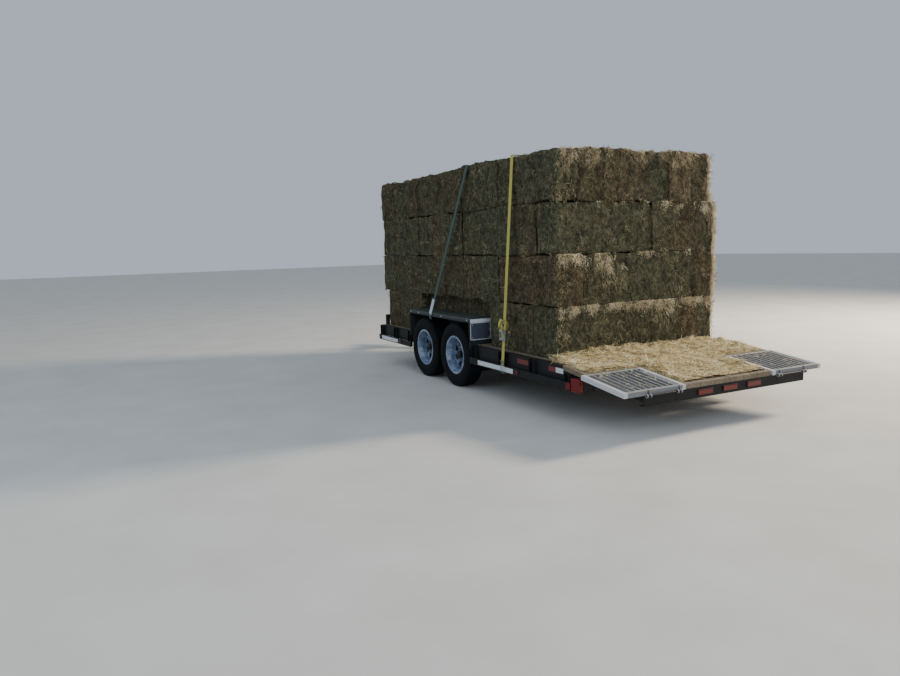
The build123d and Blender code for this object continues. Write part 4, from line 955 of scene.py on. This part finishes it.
def plainTyre():
    section = [(-x, r) for x, r in tyreSection] + [(x, r) for x, r in reversed(tyreSection)]
    made = Gather()
    deselectAll()
    bpy.ops.mesh.primitive_circle_add(vertices=len(section))
    carcass = bpy.context.object
    for vertex, (x, r) in zip(carcass.data.vertices, section):
        vertex.co = (x, r, 0)
    bpy.ops.object.mode_set(mode="EDIT")
    bpy.ops.mesh.select_all(action="SELECT")
    bpy.ops.mesh.spin(steps=tyreCut["turns"], angle=2 * pi, center=(0, 0, 0), axis=(1, 0, 0))
    bpy.ops.mesh.select_all(action="SELECT")
    bpy.ops.mesh.remove_doubles(threshold=0.00005)
    bpy.ops.object.mode_set(mode="OBJECT")
    made.parts.append(carcass)
    step = 2 * pi / tyreCut["blocks"]
    for rib, (a, b) in enumerate(tyreRibs):
        lean = step * tyreCut["skew"] * (1 if rib % 2 else -1)
        crown = tyreCut["treadTop"] - (tyreCut["shoulderDrop"] if rib in (0, 4) else 0)
        deselectAll()
        bpy.ops.mesh.primitive_cube_add(size=1, calc_uvs=False)
        block = made.known["block"] = bpy.context.object
        for vertex in block.data.vertices:   # the block is bent to the tread and sheared
            far, ahead, out = [c > 0 for c in vertex.co]
            turn = (step * (1 - tyreCut["gap"]) if ahead else 0) + (lean if far else 0)
            r = crown if out else tyreCut["treadBase"] - tyreCut["sunk"]
            vertex.co = (b if far else a, r * cos(turn), r * sin(turn))
        for k in range(1, tyreCut["blocks"]):
            made.add("block", (0, 0, 0), (step * (k + 0.5 * (rib % 2)), 0, 0))
        block.rotation_euler = (step * 0.5 * (rib % 2), 0, 0)
        made.parts.append(block)
    return made.joined("plainTyre", "rubber")


def tyrePiece(where, pattern):
    low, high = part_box("tyre_" + where)
    tyre = copyOf(pattern)
    tyre.name = tyre.data.name = "treadedTyre_" + where
    tyre.location = (low + high) / 2
    makeActive(tyre)
    bpy.ops.object.transform_apply(location=True, rotation=True, scale=True)
    fitTo(tyre, "wheel_" + where, "tyre_rubber", "tyre_" + where)
    return (low + high) / 2


# Wheel fittings: lug nuts with their washers and studs, a valve stem, and a stepped dust cap on the hub

wheelFit = {"discFace": -0.012, "nutCircle": 0.0825, "nuts": 8, "nut": 0.0115, "depth": 0.016, "washer": 1.35,
            "stud": 0.008, "valve": (0.125, 0.135), "valveLength": 0.034}


def wheelFittings(where, side, centre):
    nuts, cap = Gather(), Gather()
    face = centre.x + side * wheelFit["discFace"]
    radius, depth = wheelFit["nut"], wheelFit["depth"]
    for k in range(wheelFit["nuts"]):
        angle = 2 * pi * k / wheelFit["nuts"]
        y, z = [c + wheelFit["nutCircle"] * way(angle) for c, way in ((centre.y, cos), (centre.z, sin))]
        for a, b, *shape in ((-0.002, 0.004, radius * wheelFit["washer"], 16), (0, depth, radius, 6),
                             (0, depth + wheelFit["stud"], 0.006, 8, 0.004)):
            nuts.bar((face + side * a, y, z), (face + side * b, y, z), *shape)
    y, z = centre.y + wheelFit["valve"][0], centre.z + wheelFit["valve"][1]
    nuts.bar((face, y, z), (face + side * wheelFit["valveLength"], y - 0.008, z - 0.008), 0.0045, 8)
    nuts.piece("wheelNuts_" + where, "zinc", "wheel_white", "wheel_" + where)
    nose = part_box("hub_" + where)[0 if side < 0 else 1].x
    for a, b, *shape in ((-0.022, -0.012, 0.0425, 28), (-0.001, 0.006, 0.030, 24, 0.018)):
        cap.bar((nose + side * a, centre.y, centre.z), (nose + side * b, centre.y, centre.z), *shape)
    cap.piece("dustCap_" + where, "castPaint", "hub_cast", "wheel_" + where)


pattern = plainTyre()
for where in ("front_left", "front_right", "rear_left", "rear_right"):
    wheelFittings(where, -1 if "left" in where else 1, tyrePiece(where, pattern))
bpy.data.objects.remove(pattern)
print("stage: wheels")


# Fender trim with its rivets, the trim's near-white a painted highlight of the fender's lit rear edge, frames of
# the sign plates with their screws, and mudflap bolts

fenderLow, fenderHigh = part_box("fender_left")
signLow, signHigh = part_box("sign_plates")
flapLow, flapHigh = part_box("mudflaps")
fenderFit = {"trimLow": 0.052, "trimHigh": 0.010, "rivetDown": 0.024, "frameIn": 0.014, "frame": 0.011,
             "rivets": (fenderLow.y + 0.05, -0.12, 0.55, fenderHigh.y - 0.05), "screwIn": 0.03,
             "flapBolts": 4, "flapStart": 0.05, "flapPitch": 0.07}
trim, frames, flapBolts = Gather(), Gather(), Gather()
for side in (-1, 1):
    outer, inner = side * -fenderLow.x, side * -fenderHigh.x
    # painted highlight: a near-white strip across the top of the fender's rear face, standing for its sunlit edge
    trim.box((outer - side * 0.016, fenderLow.y - 0.0022, fenderHigh.z - fenderFit["trimLow"]),
             (inner + side * 0.006, fenderLow.y + 0.001, fenderHigh.z - fenderFit["trimHigh"]))
    for y in fenderFit["rivets"]:
        z = fenderHigh.z - fenderFit["rivetDown"]
        trim.bar((outer - side * 0.001, y, z), (outer + side * 0.003, y, z), 0.007, 12)
    left, right = sorted((outer - side * fenderFit["frameIn"], inner + side * fenderFit["frameIn"]))
    y, z0, z1, edge = signLow.y, signLow.z, signHigh.z, fenderFit["frame"]
    for a, b, c, d in ((left, left + edge, z0, z1), (right - edge, right, z0, z1),
                       (left, right, z0, z0 + edge), (left, right, z1 - edge, z1)):
        frames.box((a, y - 0.0018, c), (b, y + 0.0005, d))
    for a, b in product((left + fenderFit["screwIn"], right - fenderFit["screwIn"]),
                        (z0 + fenderFit["screwIn"], z1 - fenderFit["screwIn"])):
        frames.bar((a, y - 0.003, b), (a, y, b), 0.005, 10)
    for k in range(fenderFit["flapBolts"]):
        x, z = inner + side * (fenderFit["flapStart"] + k * fenderFit["flapPitch"]), flapHigh.z - 0.03
        flapBolts.bar((x, flapLow.y - 0.008, z), (x, flapHigh.y + 0.008, z), 0.008, 6)
trim.piece("fenderTrim", "pale", "black_steel")
frames.piece("signFrames", "whitePaint", "plate_white")
flapBolts.piece("flapBolts", "zinc", "black_steel")
print("stage: fender trim")


# Straps: steel hooks under the rails, fittings at the fenders, and the tied tail of the yellow strap

ratchetLow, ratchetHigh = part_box("strap_ratchet")
railLow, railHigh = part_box("rub_rails")
yellowY, railOuter = (ratchetLow.y + ratchetHigh.y) / 2, -railLow.x
strapFit = {"hookOut": 0.010, "hookHalf": 0.022, "hookRod": 0.0055, "footOut": 0.009, "footY": 0.17,
            "footDown": 0.015, "run": (-0.0875, -0.424, 1), "length": 0.21, "rivets": (0.03, 0.10, 0.17),
            "clawHalf": 0.018, "plateHalf": 0.054, "plate": ((1.2918, 0.362), (1.2962, 0.416))}
tailFit = {"x": -1.288, "back": 0.036, "down": 0.040, "spots": 16, "width": 0.052, "thick": 0.003}
tailLoops = (   # ahead of the tie, above it, reach outward and upward
    (-0.048, 0.0, 0.024, 0.046), (0.048, 0.006, 0.025, 0.050), (0.0, -0.010, 0.028, 0.034),
    (-0.048, 0.0, 0.014, 0.030), (0.048, 0.006, 0.015, 0.032))
hooks, tail, fitting = Gather(), Gather(), Gather()
for side in (-1, 1):
    x, low, high = side * (railOuter + strapFit["hookOut"]), railLow.z, railHigh.z
    for dy in (-strapFit["hookHalf"], strapFit["hookHalf"]):
        y = yellowY + dy
        hooks.path([(x, yellowY + dy * 0.5, high + 0.05), (x, y, high + 0.015), (x, y, low + 0.004),
                    (x - side * 0.010, y, low - 0.008), (x - side * 0.026, y, low - 0.006)], strapFit["hookRod"])
    hooks.bar((x, yellowY - 0.030, high + 0.052), (x, yellowY + 0.030, high + 0.052), 0.006)
    x = side * (railOuter + strapFit["footOut"])
    foot = Vector((x, strapFit["footY"], fenderHigh.z - strapFit["footDown"]))
    run = Vector((side * strapFit["run"][0], *strapFit["run"][1:])).normalized()
    fitting.strip([foot, foot + run * strapFit["length"]], (0, run.z, -run.y), 0.056, 0.007)
    for share in strapFit["rivets"]:
        spot = foot + run * share
        fitting.bar(spot + Vector((side * 0.002, 0, 0)), spot + Vector((side * 0.008, 0, 0)), 0.012, 10)
    for dy in (-strapFit["clawHalf"], strapFit["clawHalf"]):
        bend = foot + Vector((0, dy, -0.060))
        hooks.path([foot + Vector((0, dy, 0.01)), bend, bend + Vector((-side * 0.014, 0, -0.007))], 0.005)
    (x0, z0), (x1, z1) = strapFit["plate"]
    fitting.box((side * x0, yellowY - strapFit["plateHalf"], z0), (side * x1, yellowY + strapFit["plateHalf"], z1))
tieX, tieY, top = tailFit["x"], yellowY - tailFit["back"], ratchetHigh.z - tailFit["down"]
for dy, dz, depth, rise in tailLoops:
    spots = []
    for k in range(tailFit["spots"] + 1):
        angle = 2 * pi * k / tailFit["spots"]
        wobble = 1 + 0.10 * sin(3 * angle + dy * 60)
        spots.append((tieX - depth * cos(angle) * wobble, tieY + dy + 0.010 * sin(angle + dy * 40),
                      top + dz + rise * sin(angle) * wobble))
    tail.strip(spots, (0.25, 1, 0.3 if dy > 0 else -0.25), tailFit["width"], tailFit["thick"])
hanging = [(tieX - out, yellowY - back, top - down) for out, back, down in (
    (0.020, 0.020, 0.01), (0.030, 0.040, 0.05), (0.030, 0.046, 0.10), (0.024, 0.042, 0.13))]
tail.strip(hanging, (0.3, 1, 0), 0.034, tailFit["thick"])
hooks.piece("strapHooks", "zinc", "ratchet_zinc")
fitting.piece("strapFittings", "whitePaint", "ratchet_zinc")
tail.piece("tiedTail", "yellow", "strap_yellow")
print("stage: strap hooks")


# Lamps: black bezels, screws and side reflectors

lampFit = {"housing": 0.050, "proud": 0.006, "bar": 0.006, "screwIn": 0.024, "screwOut": 0.030,
           "reflector": (0.004, 0.070), "reflectorThick": 0.004, "ring": 0.030, "bezel": 0.006}
bezels, screws, reflectors = Gather(), Gather(), Gather()
for low, high in cadBlocks("tail_lights"):
    side, y = (-1 if low.x < 0 else 1), low.y
    outer, inner = (low.x, high.x) if side < 0 else (high.x, low.x)
    bezels.box((outer - side * lampFit["housing"], y - lampFit["proud"], low.z - 0.002),
               (inner - side * 0.004, high.y, high.z + 0.002))
    ends = sorted((outer, outer - side * lampFit["housing"]))
    for z in (low.z + 0.006, high.z - 0.012):
        bezels.box((ends[0] + 0.004, y - 0.004, z), (ends[1], y + 0.002, z + lampFit["bar"]))
    for z in (low.z + lampFit["screwIn"], high.z - lampFit["screwIn"]):
        x = outer - side * lampFit["screwOut"]
        screws.bar((x, y - 0.003, z), (x, y, z), 0.004, 10)
    start, end = [high.y + reach for reach in lampFit["reflector"]]
    x = side * (railOuter + lampFit["reflectorThick"])
    reflectors.box((side * railOuter, start, railLow.z + 0.004), (x, end, railHigh.z - 0.004))
for low, high in cadBlocks("marker_lights"):
    middle, edge = (low + high) / 2, lampFit["bezel"]
    if high.x - low.x < 0.05:   # a round side marker
        side = -1 if middle.x < 0 else 1
        x = low.x if side > 0 else high.x
        bezels.bar((x, middle.y, middle.z), (x + side * 0.0045, middle.y, middle.z), lampFit["ring"], 24)
    else:
        for a, b, c, d in ((low.x - edge, high.x + edge, low.z - edge, low.z),
                           (low.x - edge, high.x + edge, high.z, high.z + edge),
                           (low.x - edge, low.x, low.z, high.z), (high.x, high.x + edge, low.z, high.z)):
            bezels.box((a, high.y - 0.008, c), (b, high.y, d))
bezels.piece("lampBezels", "plastic", "black_steel")
screws.piece("lampScrews", "zinc", "ratchet_zinc")
reflectors.piece("sideReflectors", "lens", "red_lens")
print("stage: lamps")


# Springs and axles: a tie plate, two U-bolts and their nuts at each spring seat

springFit = {"x": 0.9295, "y": 0.425, "axleHeight": 0.2905, "tube": 0.038, "seatTop": 0.3612, "boltX": 0.028,
             "plate": (0.034, 0.062, 0.008), "rod": 0.0055, "bends": 8, "above": 0.022, "nut": 0.010}
bolts = Gather()
top, leg, reach = springFit["seatTop"], springFit["tube"] * 1.2, springFit["tube"] + 0.007
for side, end in product((-1, 1), (-1, 1)):
    x, y = side * springFit["x"], end * springFit["y"]
    wide, long, thick = springFit["plate"]
    bolts.box((x - wide, y - long, top), (x + wide, y + long, top + thick))
    for dx in (-springFit["boltX"], springFit["boltX"]):
        angles = [pi * k / springFit["bends"] for k in range(springFit["bends"] + 1)]
        bend = [(x + dx, y + reach * cos(t), springFit["axleHeight"] - reach * sin(t)) for t in angles]
        height = top + springFit["above"]
        bolts.path([(x + dx, y + leg, height), *bend, (x + dx, y - leg, height)], springFit["rod"])
        for dy in (-leg, leg):
            bolts.bar((x + dx, y + dy, top + thick), (x + dx, y + dy, top + thick + 0.010), springFit["nut"], 6)
bolts.piece("springBolts", "zinc", "axle_steel")


# Deck screws on the boards that show, and bolts through the coupler and the jack flange

fixingFit = {"screwRows": (-2.44, -2.585, -2.70, -3.15, -3.475), "screwPitch": 0.095, "screw": 0.0055,
             "wide": 1.17, "narrow": 0.53, "narrowFrom": -2.945, "couplerBolts": (0.022, 0.060),
             "couplerZ": 0.486, "latchPin": 0.17, "jackY": 2.90, "flangeTop": 0.537, "boltHalf": 0.050}
fixings = Gather()
for y in fixingFit["screwRows"]:
    z = boardTop(y)
    reach = fixingFit["wide"] if y > fixingFit["narrowFrom"] else fixingFit["narrow"]
    count = round(2 * reach / fixingFit["screwPitch"])
    for k in range(count + 1):
        x = -reach + 2 * reach * k / count
        fixings.bar((x, y, z - 0.002), (x, y, z + 0.0012), fixingFit["screw"], 8)
couplerLow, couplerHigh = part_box("coupler")
for ahead in fixingFit["couplerBolts"]:
    y, z = couplerLow.y + ahead, fixingFit["couplerZ"]
    fixings.bar((-0.056, y, z), (0.056, y, z), 0.010, 6)
y, z = couplerLow.y + fixingFit["latchPin"], couplerHigh.z - 0.012
fixings.bar((-0.036, y, z), (0.036, y, z), 0.006, 8)
jackY, top, half = fixingFit["jackY"], fixingFit["flangeTop"], fixingFit["boltHalf"]
for x, y in product((-half, half), (jackY - half, jackY + half)):
    fixings.bar((x, y, top), (x, y, top + 0.010), 0.009, 6)
    fixings.bar((x, y, top + 0.010), (x, y, top + 0.018), 0.005, 8)
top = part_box("jack_tube")[1].z
fixings.bar((0, jackY, top), (0, jackY, top + 0.006), 0.030, 20, 0.024)
fixings.piece("fixings", "zinc", "jack_zinc")
print("stage: bolts and screws")


low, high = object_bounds()
{"cad": [list(cadLow), list(cadHigh)], "visual": [list(low), list(high)]}
